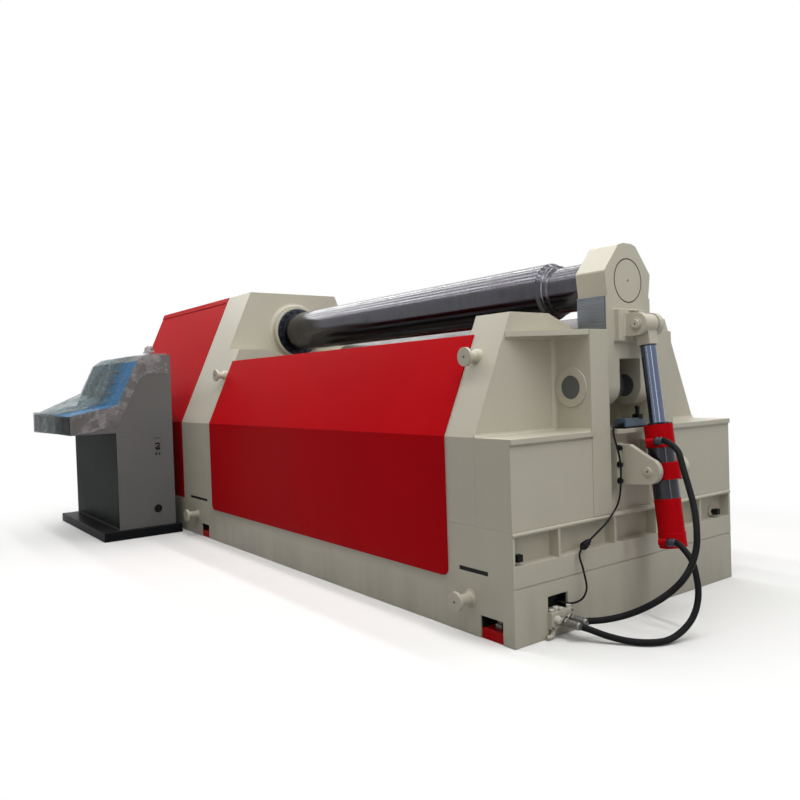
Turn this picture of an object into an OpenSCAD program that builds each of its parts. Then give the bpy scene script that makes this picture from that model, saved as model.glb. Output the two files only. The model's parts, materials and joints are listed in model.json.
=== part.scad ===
// Four-roll plate rolling machine with a tilting drop-end yoke and a control console.
// Millimetres. X runs along the rolls with the drop end at +X, -Y is the front, Z is up.
// The origin is on the floor, under the middle of the welded frame.

/* [Frame] */
// Length of the welded frame between its two end faces
frame_len = 3210; // [3000:10:3600]
// Depth of the frame from its front face to its back face
frame_depth = 1470; // [1420:10:1600]
// Height of the base under the side frames
base_h = 420; // [400:5:440]
// Height of the knee where the front and back faces start to lean in
knee_z = 760; // [740:5:790]
// Lean of the upper front and back faces from the vertical
lean_deg = 23.9; // [22:0.1:25]
// Height of the two low side frames
low_frame_z = 1245; // [1225:5:1255]
// Height of the tall left frame that carries the top roll
tall_frame_z = 1650; // [1600:5:1700]
// Thickness of the right side frame along the rolls
low_frame_t = 198; // [180:2:220]
// Thickness of the low left frame inside the tall one
left_frame_t = 171; // [150:1:190]
// Thickness of the tall left frame along the rolls
tall_frame_t = 354; // [320:2:380]
// Depth of the end box and cheeks outside the right side frame
end_box_t = 187; // [180:1:200]
// Half width of the flat dip in a low side frame under the top roll
dip_half = 140; // [120:5:160]
// Half width of that dip at the top of the side frame
dip_top_half = 298; // [280:2:320]
// Height of the dip's flat bottom
dip_z = 1183; // [1175:1:1190]

/* [Base end] */
// Underside of the top flange over the end pockets
pocket_top_z = 403; // [395:1:410]
// Floor of the end pockets
pocket_floor_z = 296; // [280:2:320]
// Depth of the end pockets
pocket_depth = 48; // [30:2:80]
// Thickness of the ribs between the end pockets
rib_t = 13; // [10:1:20]
// Distance of the inner ribs from the middle
rib_inner_y = 142; // [130:1:155]
// Distance of the outer ribs from the middle
rib_outer_y = 481; // [440:1:520]
// Width of the valve opening in the end face
valve_open_w = 112; // [90:2:140]
// Height of the valve opening in the end face
valve_open_h = 112; // [100:2:130]
// Height of the valve opening's sill
valve_open_z = 45; // [35:1:60]
// Distance of the valve opening from the middle of the end face
valve_open_y = 500; // [460:2:540]
// Depth of the valve opening
valve_open_depth = 120; // [90:5:160]

/* [Drop end] */
// Half width of the slot between the cheeks
slot_half = 161; // [158:1:170]
// Thickness of each cheek across the machine
cheek_t = 116; // [100:2:130]
// Height of the cheeks
cheek_z = 1167; // [1150:1:1180]
// Thickness of the gusset shelves beside the cheeks
shelf_t = 23; // [15:1:30]
// Distance of the yoke's pivot from the end face
pivot_in = 97; // [94:1:100]
// Height of the yoke's pivot
pivot_z = 937; // [925:1:945]
// Radius of the pivot pins
pivot_r = 48; // [40:1:50]
// Radius of the boss round each pivot pin
pivot_boss_r = 80; // [70:1:84]
// Height of that boss over the cheek's side
pivot_boss_h = 5; // [3:1:10]
// Depth of the recess in the end box between the cheeks
slot_recess = 30; // [20:1:40]
// Thickness of the end boxes' cover plates
cover_t = 20; // [12:1:30]
// Lip of the cover plates over the end face
cover_lip = 8; // [4:1:15]

/* [Yoke] */
// Thickness of the yoke along the rolls
yoke_t = 147; // [140:1:150]
// Radius of the yoke's round lower ends
yoke_end_r = 84; // [80:1:85]
// Half width of the yoke between its guide plates
yoke_half = 148; // [140:1:149]
// Thickness of the guide plates on the yoke's sides
guide_t = 6; // [4:1:8]
// Half width of the fork opening between the yoke's arms
fork_half = 70; // [68:1:74]
// Height of the top of the fork opening
fork_top_z = 1049; // [1040:1:1060]
// Half width of the yoke's flat top
yoke_top_half = 50; // [40:1:60]
// Height of the yoke's flat top over the roll axis
yoke_top_h = 155; // [145:1:165]
// Half width of the yoke's head at its widest
yoke_head_half = 155; // [150:1:160]
// Height of the widest line over the roll axis
yoke_wide_h = 33; // [20:1:45]
// Half width of the head's lower edge
yoke_low_half = 140; // [130:1:146]
// Drop of the head's lower edge under the roll axis
yoke_low_h = 68; // [60:1:80]
// Radius of the round cap on the yoke's face
cap_r = 90; // [85:1:93]

/* [Rolls] */
// Height of the top roll's axis
top_roll_z = 1374; // [1368:1:1385]
// Radius of the top roll
top_roll_r = 131; // [120:1:135]
// Gap between the top roll's body and the left frame
roll_gap_left = 118; // [90:2:140]
// Gap between the top roll's body and the right frame
roll_gap_right = 30; // [20:2:60]
// Radius of the top roll's journals
journal_r = 95; // [85:1:98]
// Radius of the bearing ring on the tall frame
bearing_r = 165; // [150:1:168]
// Radius of the boss round that ring
bearing_boss_r = 186; // [180:1:188]
// Height of that boss over the tall frame's face
bearing_boss_h = 48; // [30:1:60]
// Half angle of the tapered journal in the yoke
taper_deg = 12; // [11.5:0.1:14]
// Length of the tapered journal
taper_len = 100; // [90:1:105]
// Height of the bottom roll's axis
bottom_roll_z = 939; // [935:1:941]
// Radius of the bottom roll
bottom_roll_r = 115; // [105:1:125]
// Radius of the bottom roll's shaft ends
bottom_shaft_r = 45; // [40:1:48]
// Radius of the side rolls
side_roll_r = 100; // [90:1:105]
// Distance of the side rolls from the middle
side_roll_y = 330; // [310:5:350]
// Height of the front side roll's axis
side_roll_z = 1010; // [990:5:1030]
// Height of the rear side roll's axis, which is raised
rear_roll_z = 1175; // [1160:1:1180]
// Radius of the side rolls' shaft ends
side_shaft_r = 50; // [40:1:60]

/* [Tilt cylinder] */
// Distance of the trunnion axis outside the end face
trunnion_out = 135; // [130:1:145]
// Height of the trunnion axis
trunnion_z = 595; // [585:1:605]
// Distance of the clevis pin outside the end face
clevis_out = 66; // [60:1:70]
// Height of the clevis pin
clevis_z = 1186; // [1180:1:1190]
// Radius of the cylinder's barrel
barrel_r = 52; // [48:1:54]
// Radius of the piston rod
rod_r = 31; // [26:1:35]
// Radius of the cylinder's head
head_r = 57; // [55:1:62]
// Radius of the trunnion ring
ring_r = 65; // [60:1:70]
// Radius of the trunnion pins
trunnion_r = 22; // [18:1:28]
// Radius of the clevis pin
clevis_r = 20; // [16:1:22]
// Play between the clevis pin and the rod eye
eye_play = 12; // [11:0.5:13]
// Width of the rod eye
eye_w = 60; // [50:2:64]

/* [Panels and drive] */
// Thickness of the sheet panels
sheet_t = 6; // [4:1:10]
// Lower edge of the front and back panels
panel_z0 = 202; // [180:2:230]
// Upper edge of the front and back panels
panel_z1 = 1164; // [1140:2:1180]
// Overlap of the panels on the side frames
panel_lap = 26; // [15:1:40]
// Radius of the panels' lower corners
panel_corner_r = 32; // [15:1:60]
// Length of the drive cover beyond the tall frame
drive_len = 1365; // [1200:5:1500]
// Height of the base under the drive cover
drive_base_h = 228; // [200:2:260]

/* [Console] */
// Width of the console
console_w = 1090; // [950:10:1200]
// How far the console's right side stands past the frame's drive end, towards the drop end
console_past = 10; // [0:1:60]
// Gap between the machine's front and the console's back
console_gap = 72; // [60:2:120]
// Depth of the console's pedestal
pedestal_d = 383; // [340:2:420]
// Reach of the desk in front of the pedestal
desk_reach = 286; // [250:2:320]
// Height of the desk's underside
desk_z = 711; // [690:1:730]
// Height of the console's top
console_z = 1234; // [1200:2:1260]
// Height of the plinth
plinth_h = 58; // [50:1:70]

/* [Hidden] */
$fn = 64;
eps = 0.5;
run_gap = 0.08;
seat_gap = 0.3;
hd = frame_depth / 2;
end_x = frame_len / 2;
web_x = end_x - end_box_t;
right_in_x = web_x - low_frame_t;
tall_in_x = -end_x + tall_frame_t;
left_in_x = tall_in_x + left_frame_t;
pivot_x = end_x - pivot_in;
cheek_y = slot_half + cheek_t;

// Half depth of the leaning profile at height z
function lean_y(z) = hd - max(0, z - knee_z) * tan(lean_deg);

// Rolls
bearing_proud = 6;
bearing_draft = 8;
roll_end_gap = 20;
shaft_in = 40;
shaft_end_gap = 5;
side_shaft_len = 99;
side_shaft_x = right_in_x + side_shaft_len;
bottom_boss_len = 82;
bottom_boss_gap = 6;
shaft_past_boss = 30;
pivot_pin_in = 3;
pivot_pin_gap = 4;

// Tilt cylinder: the barrel's own frame has its origin on the trunnion axis and +Z along the rod
trunnion_x = end_x + trunnion_out;
clevis_x = end_x + clevis_out;
rod_dx = clevis_x - trunnion_x;
rod_dz = clevis_z - trunnion_z;
rod_len = norm([rod_dx, rod_dz]);
rod_deg = atan2(rod_dx, rod_dz);
head_z0 = 90;
head_z1 = 182;
ring_z0 = -40;
ring_z1 = 28;
sleeve_z = -116;
cap_z = -254;
tail_z = -312;
barrel_play = 8;
bore_r = rod_r + barrel_play;
rod_in_z = 70;
eye_drop = 86;
eye_wall = 11;
eye_r = clevis_r + eye_play + eye_wall;
port_x = 8;
port_y = 72;
port_r = 14;
port_half = 18;
port_neck_r = 12;
tail_lip = 2;
port_sink = 6;
head_port_z = 116;
tail_port_z = -283;

// Yoke
yoke_x1 = pivot_x + yoke_end_r;
yoke_round_more = 2;
yoke_round_r = yoke_top_h + yoke_round_more;
yoke_x0 = yoke_x1 - yoke_t;
pad_t = 25;
pad_half = 102;
pad_z0 = 1121;
pad_z1 = 1250;
ear_r = 47;
ear_gap = 4;
ear_t = 27;
ear_in = eye_w / 2 + ear_gap;
ear_out = ear_in + ear_t;
bore_end_r = journal_r - taper_len * tan(taper_deg);
seat_past = 3;
seat_depth = taper_len + seat_past;
relief = 23;
cap_depth = 12;
cap_groove = 2;
cap_dot_r = 5;
guide_inset = 4;
guide_drop = 150;
pin_flange = 5;

// Trunnion brackets
bracket_in = 80;
bracket_t = 25;
bracket_r = 52;
bracket_foot_t = 35;
bracket_foot_z0 = 520;
bracket_foot_z1 = 704;
bracket_foot_y = 126;
bracket_x = end_x - slot_recess + bracket_foot_t;
bracket_step = 6;
bracket_arm = 45;
bracket_tip_x = 38;
bracket_tip_z = 36;

// Levelling feet and lifting pins
foot_w = 120;
foot_h = 86;
foot_in = 119;
left_foot_in = 359;
foot_xs = [end_x - foot_in, -end_x + left_foot_in];
foot_gap = 4;
foot_pad_h = 38;
foot_screw_r = 20;
pin_right_in = 233;
pin_left_in = 235;
pin_low_xs = [end_x - pin_right_in, -end_x + pin_left_in];
high_pin_past = 80;
high_pin_left_past = 101;
pin_high_xs = [right_in_x + high_pin_past, tall_in_x + high_pin_left_past];
pin_r = 22;
pin_len = 84;
pin_head_r = 38;
pin_head_t = 14;
pin_root = 12;
pin_low_z = 140;
pin_high_z = 1073;
seam_z = 211;
seam_h = 4;
seam_depth = 3;
slit_z = 240;
slit_h = 18;
slit_depth = 25;
slit_right_in = 131;
slit_right_len = 162;
slit_left_in = 110;
slit_left_len = 296;
slit_spans = [[end_x - slit_right_in - slit_right_len, end_x - slit_right_in],
    [-end_x + slit_left_in, -end_x + slit_left_in + slit_left_len]];

// Sensor shelf, end switch and hose manifold at the drop end
sensor_out = 20;
sensor_t = 18;
sensor_y0 = -135;
sensor_y1 = 100;
switch_in = 45;
switch_out = 10;
switch_half = 70;
switch_h = 34;
manifold_t = 20;
manifold_side = 4;
manifold_z0 = 36;
manifold_z1 = 98;
union_len = 15;
upper_union_y = 32;
lower_union_y = 6;
upper_union_z = 66;
lower_union_z = 60;
terminal_gap = 14;
terminal_t = 77;
terminal_h = 98;

// Console
console_x1 = -end_x + console_past;
console_x0 = console_x1 - console_w;
console_y1 = -hd - console_gap;
console_y0 = console_y1 - pedestal_d;
desk_y0 = console_y0 - desk_reach;
lip_h = 123;
shelf_rise = 60;
shelf_back = 18;
slope_run = 141;
brow_run = 63;
brow_rise = 42;
lip_z = desk_z + lip_h;
shelf_y = console_y0 + shelf_back;
shelf_z = lip_z + shelf_rise;
slope_y = shelf_y + slope_run;
slope_z = console_z - brow_rise;
top_y = slope_y + brow_run;
plinth_side = 40;
plinth_front = 110;
plinth_back = 30;
switch_box_w = 28;
switch_box_h = 48;
switch_box_t = 6;
switch_box_in = 110;
switch_box_drop = 106;
switch_box_y = console_y1 - switch_box_in;
switch_box_z = desk_z - switch_box_drop;
knob_r = 9;
knob_len = 10;

// Hoses and cable: routes from the drop end to the manifold, with X counted from the end face
function at_barrel(x, y, z) = [trunnion_out + x * cos(rod_deg) + z * sin(rod_deg), y,
    trunnion_z - x * sin(rod_deg) + z * cos(rod_deg)];
hose_r = 12;
cable_r = 4;
hose_sides = 10;
cable_sides = 8;
hose_steps = 2;
cable_steps = 3;
hose_gap = 0.8;
hose_lead = 40;
port_end = port_x + port_half + hose_gap;
hose_end_x = manifold_t + union_len + hose_gap;
upper_union = [hose_end_x, upper_union_y - valve_open_y, upper_union_z];
lower_union = [hose_end_x, -lower_union_y - valve_open_y, lower_union_z];
lead = [hose_lead, 0, 0];
upper_route = [at_barrel(port_end, -port_y, head_port_z),
    at_barrel(port_end + hose_lead, -port_y, head_port_z), [257, -90, 684], [290, -108, 622],
    [325, -128, 553], [357, -148, 483], [380, -172, 412], [393, -200, 340], [385, -238, 267],
    [355, -280, 207], [300, -325, 152], [225, -370, 104], [145, -418, 74], upper_union + lead, upper_union];
lower_route = [at_barrel(port_end, -port_y, tail_port_z),
    at_barrel(port_end + hose_lead, -port_y, tail_port_z), [297, -82, 272], [325, -92, 212],
    [341, -108, 145], [345, -145, 82], [339, -205, 38], [327, -285, 15], [295, -352, 13], [240, -395, 14],
    [180, -438, 27], [126, -474, 46], lower_union + lead, lower_union];
cable_route = [[-5, -switch_half - hose_gap, knee_z + switch_h / 2], [-3, -110, 778], [3, -140, 766],
    [9, -148, 735], [19, -145, 695], [28, -138, 640], [29, -136, 570], [25, -150, 470], [21, -220, 398],
    [17, -320, 342], [19, -390, 300], [31, -386, 235], [35, -374, 165], [31, -396, 126], [16, -436, 113],
    [-12, -463, 116], [terminal_t + hose_gap - valve_open_depth, -472, 119]];

// Extrudes a profile drawn as (Y, Z) from x0 to x1
module along_x(x0, x1) {
    translate([x0, 0, 0])
        rotate([90, 0, 90])
            linear_extrude(x1 - x0)
                children();
}

// Extrudes a profile drawn as (X, Z) from y0 to y1
module along_y(y0, y1) {
    translate([0, y1, 0])
        rotate([90, 0, 0])
            linear_extrude(y1 - y0)
                children();
}

module rod_x(x0, x1, y, z, r) {
    translate([x0, y, z])
        rotate([0, 90, 0])
            cylinder(h = x1 - x0, r = r);
}

module rod_y(x, y0, y1, z, r) {
    translate([x, y0, z])
        rotate([-90, 0, 0])
            cylinder(h = y1 - y0, r = r);
}

module block(x0, x1, y0, y1, z0, z1) {
    translate([x0, y0, z0])
        cube([x1 - x0, y1 - y0, z1 - z0]);
}

module mirror_y() {
    children();
    mirror([0, 1, 0])
        children();
}

// The frame's end view between two heights, leaning in above the knee
module frame_profile(z0, z1) {
    polygon([[-hd, z0], [hd, z0], [hd, knee_z], [lean_y(z1), z1], [-lean_y(z1), z1], [-hd, knee_z]]);
}

module low_frame_profile() {
    top = lean_y(low_frame_z);
    polygon([[-hd, base_h], [hd, base_h], [hd, knee_z], [top, low_frame_z], [dip_top_half, low_frame_z],
        [dip_half, dip_z], [-dip_half, dip_z], [-dip_top_half, low_frame_z], [-top, low_frame_z],
        [-hd, knee_z]]);
}

module base_frame() {
    rib_ys = [-hd + rib_t / 2, -rib_outer_y, -rib_inner_y, rib_inner_y, rib_outer_y, hd - rib_t / 2];
    color([0.86, 0.83, 0.74])
        difference() {
            block(-end_x, end_x, -hd, hd, 0, base_h);
            for (i = [0 : len(rib_ys) - 2])
                block(end_x - pocket_depth, end_x + eps, rib_ys[i] + rib_t / 2, rib_ys[i + 1] - rib_t / 2,
                    pocket_floor_z, pocket_top_z);
            block(end_x - valve_open_depth, end_x + eps, -valve_open_y - valve_open_w / 2,
                -valve_open_y + valve_open_w / 2, valve_open_z, valve_open_z + valve_open_h);
            block(end_x - seam_depth, end_x + eps, -hd - eps, hd + eps, seam_z, seam_z + seam_h);
            mirror_y() {
                for (x = foot_xs)
                    block(x - foot_w / 2, x + foot_w / 2, -hd - eps, -hd + foot_w, -eps, foot_h);
                for (s = slit_spans)
                    block(s[0], s[1], -hd - eps, -hd + slit_depth, slit_z, slit_z + slit_h);
            }
        }
}

module drive_base() {
    color([0.86, 0.83, 0.74])
        block(-end_x - drive_len, -end_x, -hd, hd, 0, drive_base_h);
}

// Bores that take the side roll shafts
module side_bores(x0, x1) {
    rod_x(x0, x1, -side_roll_y, side_roll_z, side_shaft_r + run_gap);
    rod_x(x0, x1, side_roll_y, rear_roll_z, side_shaft_r + run_gap);
}

module right_side_frame() {
    color([0.86, 0.83, 0.74])
        difference() {
            along_x(right_in_x, web_x)
                low_frame_profile();
            rod_x(right_in_x - eps, web_x + eps, 0, bottom_roll_z, bottom_shaft_r + run_gap);
            side_bores(right_in_x - eps, side_shaft_x + shaft_end_gap);
        }
}

// The end box with its cover plate, whose lip stands over the end face beside the cheek
module end_box_at_front() {
    block(web_x, end_x, -hd, -slot_half, base_h, knee_z);
    block(web_x, end_x + cover_lip, -hd, -cheek_y, knee_z - cover_t, knee_z);
}

module front_end_box() {
    color([0.86, 0.83, 0.74])
        end_box_at_front();
}

module rear_end_box() {
    color([0.86, 0.83, 0.74])
        mirror([0, 1, 0])
            end_box_at_front();
}

module slot_back() {
    color([0.84, 0.81, 0.72])
        block(web_x, end_x - slot_recess, -slot_half, slot_half, base_h, knee_z);
}

module cheek_at_front() {
    difference() {
        union() {
            block(web_x, end_x, -cheek_y, -slot_half, knee_z, cheek_z);
            rod_y(pivot_x, -cheek_y - pivot_boss_h, -cheek_y + eps, pivot_z, pivot_boss_r);
        }
        rod_y(pivot_x, -cheek_y - pivot_boss_h - eps, -slot_half + eps, pivot_z, pivot_r + run_gap);
    }
}

module front_cheek() {
    color([0.86, 0.83, 0.74])
        cheek_at_front();
}

module rear_cheek() {
    color([0.86, 0.83, 0.74])
        mirror([0, 1, 0])
            cheek_at_front();
}

module gusset_shelves() {
    color([0.86, 0.83, 0.74])
        mirror_y()
            translate([0, 0, cheek_z - shelf_t])
                linear_extrude(shelf_t)
                    polygon([[web_x, -lean_y(cheek_z)], [end_x, -cheek_y], [web_x, -cheek_y]]);
}

module tall_left_frame() {
    color([0.86, 0.83, 0.74])
        difference() {
            union() {
                along_x(-end_x, tall_in_x)
                    frame_profile(base_h, tall_frame_z);
                translate([tall_in_x - eps, 0, top_roll_z])
                    rotate([0, 90, 0])
                        cylinder(h = bearing_boss_h + eps, r1 = bearing_boss_r,
                            r2 = bearing_boss_r - bearing_draft);
            }
            rod_x(tall_in_x, tall_in_x + bearing_boss_h + eps, 0, top_roll_z, bearing_r);
            rod_x(tall_in_x - tall_frame_t / 2, tall_in_x + eps, 0, top_roll_z, journal_r + run_gap);
        }
}

module left_side_frame() {
    color([0.86, 0.83, 0.74])
        difference() {
            along_x(tall_in_x, left_in_x)
                low_frame_profile();
            rod_x(tall_in_x + shaft_in, left_in_x + eps, 0, bottom_roll_z, bottom_shaft_r + run_gap);
            side_bores(tall_in_x + shaft_in, left_in_x + eps);
        }
}

module panel_profile() {
    slant = [cos(lean_deg) * sheet_t, sin(lean_deg) * sheet_t];
    top_y = lean_y(panel_z1);
    knee_out = hd + sheet_t;
    knee_up = knee_z + sheet_t * tan(lean_deg / 2);
    polygon([[-hd, panel_z0], [-hd, knee_z], [-top_y, panel_z1], [-top_y - slant[0], panel_z1 + slant[1]],
        [-knee_out, knee_up], [-knee_out, panel_z0]]);
}

// The panel's outline seen from the front, with round lower corners
module panel_outline(x0, x1) {
    low_z = panel_z0 + panel_corner_r;
    translate([x0, low_z])
        square([x1 - x0, tall_frame_z - low_z]);
    translate([x0 + panel_corner_r, panel_z0])
        square([x1 - x0 - 2 * panel_corner_r, panel_corner_r + eps]);
    for (x = [x0 + panel_corner_r, x1 - panel_corner_r])
        translate([x, low_z])
            circle(panel_corner_r);
}

module panel_at_front() {
    x0 = left_in_x - panel_lap;
    x1 = right_in_x + panel_lap;
    intersection() {
        along_x(x0, x1)
            panel_profile();
        along_y(-hd - sheet_t - eps, 0)
            panel_outline(x0, x1);
    }
}

module front_panel() {
    color([0.80, 0.10, 0.12])
        panel_at_front();
}

module rear_panel() {
    color([0.80, 0.10, 0.12])
        mirror([0, 1, 0])
            panel_at_front();
}

module drive_cover() {
    color([0.80, 0.10, 0.12])
        along_x(-end_x - drive_len, -end_x)
            frame_profile(drive_base_h, tall_frame_z);
}

// A short pin with a flanged head, pointing out of the front face
module lifting_pin(x, y, z) {
    translate([x, y, z])
        rotate([90, 0, 0]) {
            cylinder(h = pin_len, r = pin_r);
            translate([0, 0, pin_len - pin_head_t])
                cylinder(h = pin_head_t, r = pin_head_r);
        }
}

module lifting_pins() {
    color([0.86, 0.83, 0.74])
        mirror_y() {
            for (x = pin_low_xs)
                lifting_pin(x, -hd, pin_low_z);
            for (x = pin_high_xs)
                difference() {
                    lifting_pin(x, -lean_y(pin_high_z) + pin_root, pin_high_z);
                    along_x(x - low_frame_t / 2, x + low_frame_t / 2)
                        frame_profile(base_h, low_frame_z);
                }
        }
}

module levelling_feet() {
    color([0.75, 0.08, 0.10])
        mirror_y()
            for (x = foot_xs) {
                block(x - foot_w / 2 + foot_gap, x + foot_w / 2 - foot_gap, -hd + foot_gap,
                    -hd + foot_w - foot_gap, 0, foot_pad_h);
                translate([x, -hd + foot_w / 2, 0])
                    cylinder(h = foot_h, r = foot_screw_r);
            }
}

module left_bearing() {
    ring_x1 = tall_in_x + bearing_boss_h + bearing_proud;
    color([0.18, 0.19, 0.22])
        difference() {
            rod_x(tall_in_x, ring_x1, 0, top_roll_z, bearing_r);
            rod_x(tall_in_x - eps, ring_x1 + eps, 0, top_roll_z, journal_r + run_gap);
        }
}

module bottom_bearing() {
    color([0.86, 0.83, 0.74])
        difference() {
            rod_x(web_x, web_x + bottom_boss_len, 0, bottom_roll_z, fork_half - bottom_boss_gap);
            rod_x(web_x - eps, web_x + bottom_boss_len + eps, 0, bottom_roll_z, bottom_shaft_r + run_gap);
        }
}

module top_roll() {
    body_x0 = tall_in_x + roll_gap_left;
    body_x1 = right_in_x - roll_gap_right;
    left_end_x = tall_in_x - tall_frame_t / 2 + shaft_end_gap;
    color([0.22, 0.23, 0.26])
        union() {
            rod_x(left_end_x, body_x0, 0, top_roll_z, journal_r);
            rod_x(body_x0, body_x1, 0, top_roll_z, top_roll_r);
            rod_x(body_x1, yoke_x0, 0, top_roll_z, journal_r);
            translate([yoke_x0, 0, top_roll_z])
                rotate([0, 90, 0])
                    cylinder(h = taper_len, r1 = journal_r, r2 = bore_end_r);
        }
}

// A lower roll between the side frames, with its right shaft end at x1
module lower_roll(x1, y, z, roll_r, shaft_r) {
    left_x = left_in_x + roll_end_gap;
    right_x = right_in_x - roll_end_gap;
    color([0.25, 0.26, 0.29])
        union() {
            rod_x(tall_in_x + shaft_in + shaft_end_gap, left_x, y, z, shaft_r);
            rod_x(left_x, right_x, y, z, roll_r);
            rod_x(right_x, x1, y, z, shaft_r);
        }
}

module bottom_roll() {
    lower_roll(web_x + bottom_boss_len + shaft_past_boss, 0, bottom_roll_z, bottom_roll_r, bottom_shaft_r);
}

module front_side_roll() {
    lower_roll(side_shaft_x, -side_roll_y, side_roll_z, side_roll_r, side_shaft_r);
}

module rear_side_roll() {
    lower_roll(side_shaft_x, side_roll_y, rear_roll_z, side_roll_r, side_shaft_r);
}

// Stub pins that carry the yoke's arms in the cheeks
module pivot_pins() {
    color([0.30, 0.31, 0.34])
        mirror_y()
            rod_y(pivot_x, -cheek_y - pivot_boss_h + pivot_pin_in, -fork_half - pivot_pin_gap, pivot_z,
                pivot_r);
}

module yoke_profile() {
    z = top_roll_z;
    polygon([[-yoke_top_half, z + yoke_top_h], [-yoke_head_half, z + yoke_wide_h],
        [-yoke_low_half, z - yoke_low_h], [-yoke_half, z - yoke_low_h], [-yoke_half, pivot_z],
        [-fork_half, pivot_z], [-fork_half, fork_top_z], [fork_half, fork_top_z], [fork_half, pivot_z],
        [yoke_half, pivot_z], [yoke_half, z - yoke_low_h], [yoke_low_half, z - yoke_low_h],
        [yoke_head_half, z + yoke_wide_h], [yoke_top_half, z + yoke_top_h]]);
}

// Rounds the corners of the yoke's head about the roll axis
module yoke_head_round() {
    translate([0, top_roll_z])
        circle(yoke_round_r);
    translate([-yoke_head_half, 0])
        square([2 * yoke_head_half, top_roll_z - yoke_low_h]);
}

module yoke_ear() {
    block(yoke_x1 + pad_t - eps, clevis_x, -ear_out, -ear_in, clevis_z - ear_r, clevis_z + ear_r);
    rod_y(clevis_x, -ear_out, -ear_in, clevis_z, ear_r);
}

module yoke() {
    color([0.86, 0.83, 0.74])
        difference() {
            union() {
                along_x(yoke_x0, yoke_x1)
                    intersection() {
                        yoke_profile();
                        yoke_head_round();
                    }
                mirror_y()
                    intersection() {
                        rod_y(pivot_x, -yoke_half, -fork_half, pivot_z, yoke_end_r);
                        block(yoke_x0, yoke_x1 + eps, -yoke_half, -fork_half, pivot_z - yoke_end_r,
                            pivot_z + eps);
                    }
                block(yoke_x1 - eps, yoke_x1 + pad_t, -pad_half, pad_half, pad_z0, pad_z1);
                mirror_y()
                    yoke_ear();
            }
            translate([yoke_x0, 0, top_roll_z])
                rotate([0, 90, 0])
                    cylinder(h = seat_depth, r1 = journal_r + seat_gap,
                        r2 = journal_r + seat_gap - seat_depth * tan(taper_deg));
            rod_x(yoke_x1 - cap_depth, yoke_x1 + eps, 0, top_roll_z, cap_r + cap_groove);
            block(yoke_x1 + pad_t - relief, yoke_x1 + pad_t + eps, -ear_in, ear_in, pad_z0 - eps,
                pad_z1 + eps);
            rod_y(pivot_x, -yoke_half - eps, yoke_half + eps, pivot_z, pivot_r + run_gap);
            rod_y(clevis_x, -ear_out - eps, ear_out + eps, clevis_z, clevis_r + run_gap);
        }
}

module yoke_cap() {
    color([0.86, 0.83, 0.74])
        difference() {
            rod_x(yoke_x1 - cap_depth, yoke_x1, 0, top_roll_z, cap_r);
            rod_x(yoke_x1 - cap_depth / 2, yoke_x1 + eps, 0, top_roll_z, cap_dot_r);
        }
}

module yoke_guides() {
    color([0.48, 0.50, 0.54])
        mirror_y()
            block(yoke_x0 + guide_inset, yoke_x1 - guide_inset, -yoke_half - guide_t, -yoke_half,
                cheek_z - guide_drop, top_roll_z - yoke_low_h);
}

module clevis_pin() {
    color([0.80, 0.77, 0.69])
        union() {
            rod_y(clevis_x, -ear_out, ear_out, clevis_z, clevis_r);
            mirror_y()
                rod_y(clevis_x, -ear_out - pin_flange, -ear_out, clevis_z, clevis_r + pin_flange);
        }
}

module bracket_profile() {
    low_z = bracket_foot_z0 + 2 * bracket_step;
    high_z = bracket_foot_z1 - bracket_step;
    polygon([[bracket_x - eps, low_z], [trunnion_x + bracket_step, trunnion_z - bracket_r + eps],
        [trunnion_x + bracket_tip_x, trunnion_z + bracket_tip_z], [bracket_x + bracket_arm, high_z],
        [bracket_x - eps, high_z]]);
}

module bracket_at_front() {
    difference() {
        union() {
            block(end_x - slot_recess, bracket_x, -bracket_foot_y, -bracket_in, bracket_foot_z0,
                bracket_foot_z1);
            along_y(-bracket_in - bracket_t, -bracket_in)
                bracket_profile();
            rod_y(trunnion_x, -bracket_in - bracket_t, -bracket_in, trunnion_z, bracket_r);
        }
        rod_y(trunnion_x, -bracket_in - bracket_t - eps, -bracket_in + eps, trunnion_z,
            trunnion_r + run_gap);
    }
}

module front_trunnion_bracket() {
    color([0.86, 0.83, 0.74])
        bracket_at_front();
}

module rear_trunnion_bracket() {
    color([0.86, 0.83, 0.74])
        mirror([0, 1, 0])
            bracket_at_front();
}

module in_barrel_frame() {
    translate([trunnion_x, 0, trunnion_z])
        rotate([0, rod_deg, 0])
            children();
}

module cylinder_barrel() {
    color([0.16, 0.17, 0.20])
        in_barrel_frame()
            translate([0, 0, sleeve_z])
                difference() {
                    cylinder(h = head_z0 - sleeve_z, r = barrel_r);
                    translate([0, 0, -eps])
                        cylinder(h = head_z0 - sleeve_z + 2 * eps, r = bore_r);
                }
}

// An elbow port on the front of the cylinder that a hose leaves towards +X
module port(z, root_y) {
    translate([port_x, 0, z]) {
        rotate([90, 0, 0])
            translate([0, 0, root_y])
                cylinder(h = port_y - root_y, r = port_neck_r);
        translate([-port_half, -port_y, 0])
            rotate([0, 90, 0])
                cylinder(h = 2 * port_half, r = port_r);
    }
}

module cylinder_head() {
    color([0.78, 0.10, 0.12])
        in_barrel_frame()
            difference() {
                union() {
                    translate([0, 0, head_z0])
                        cylinder(h = head_z1 - head_z0, r = head_r);
                    port(head_port_z, head_r - port_sink);
                }
                translate([0, 0, head_z0 - eps])
                    cylinder(h = head_z1 - head_z0 + 2 * eps, r = rod_r + run_gap);
            }
}

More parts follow.
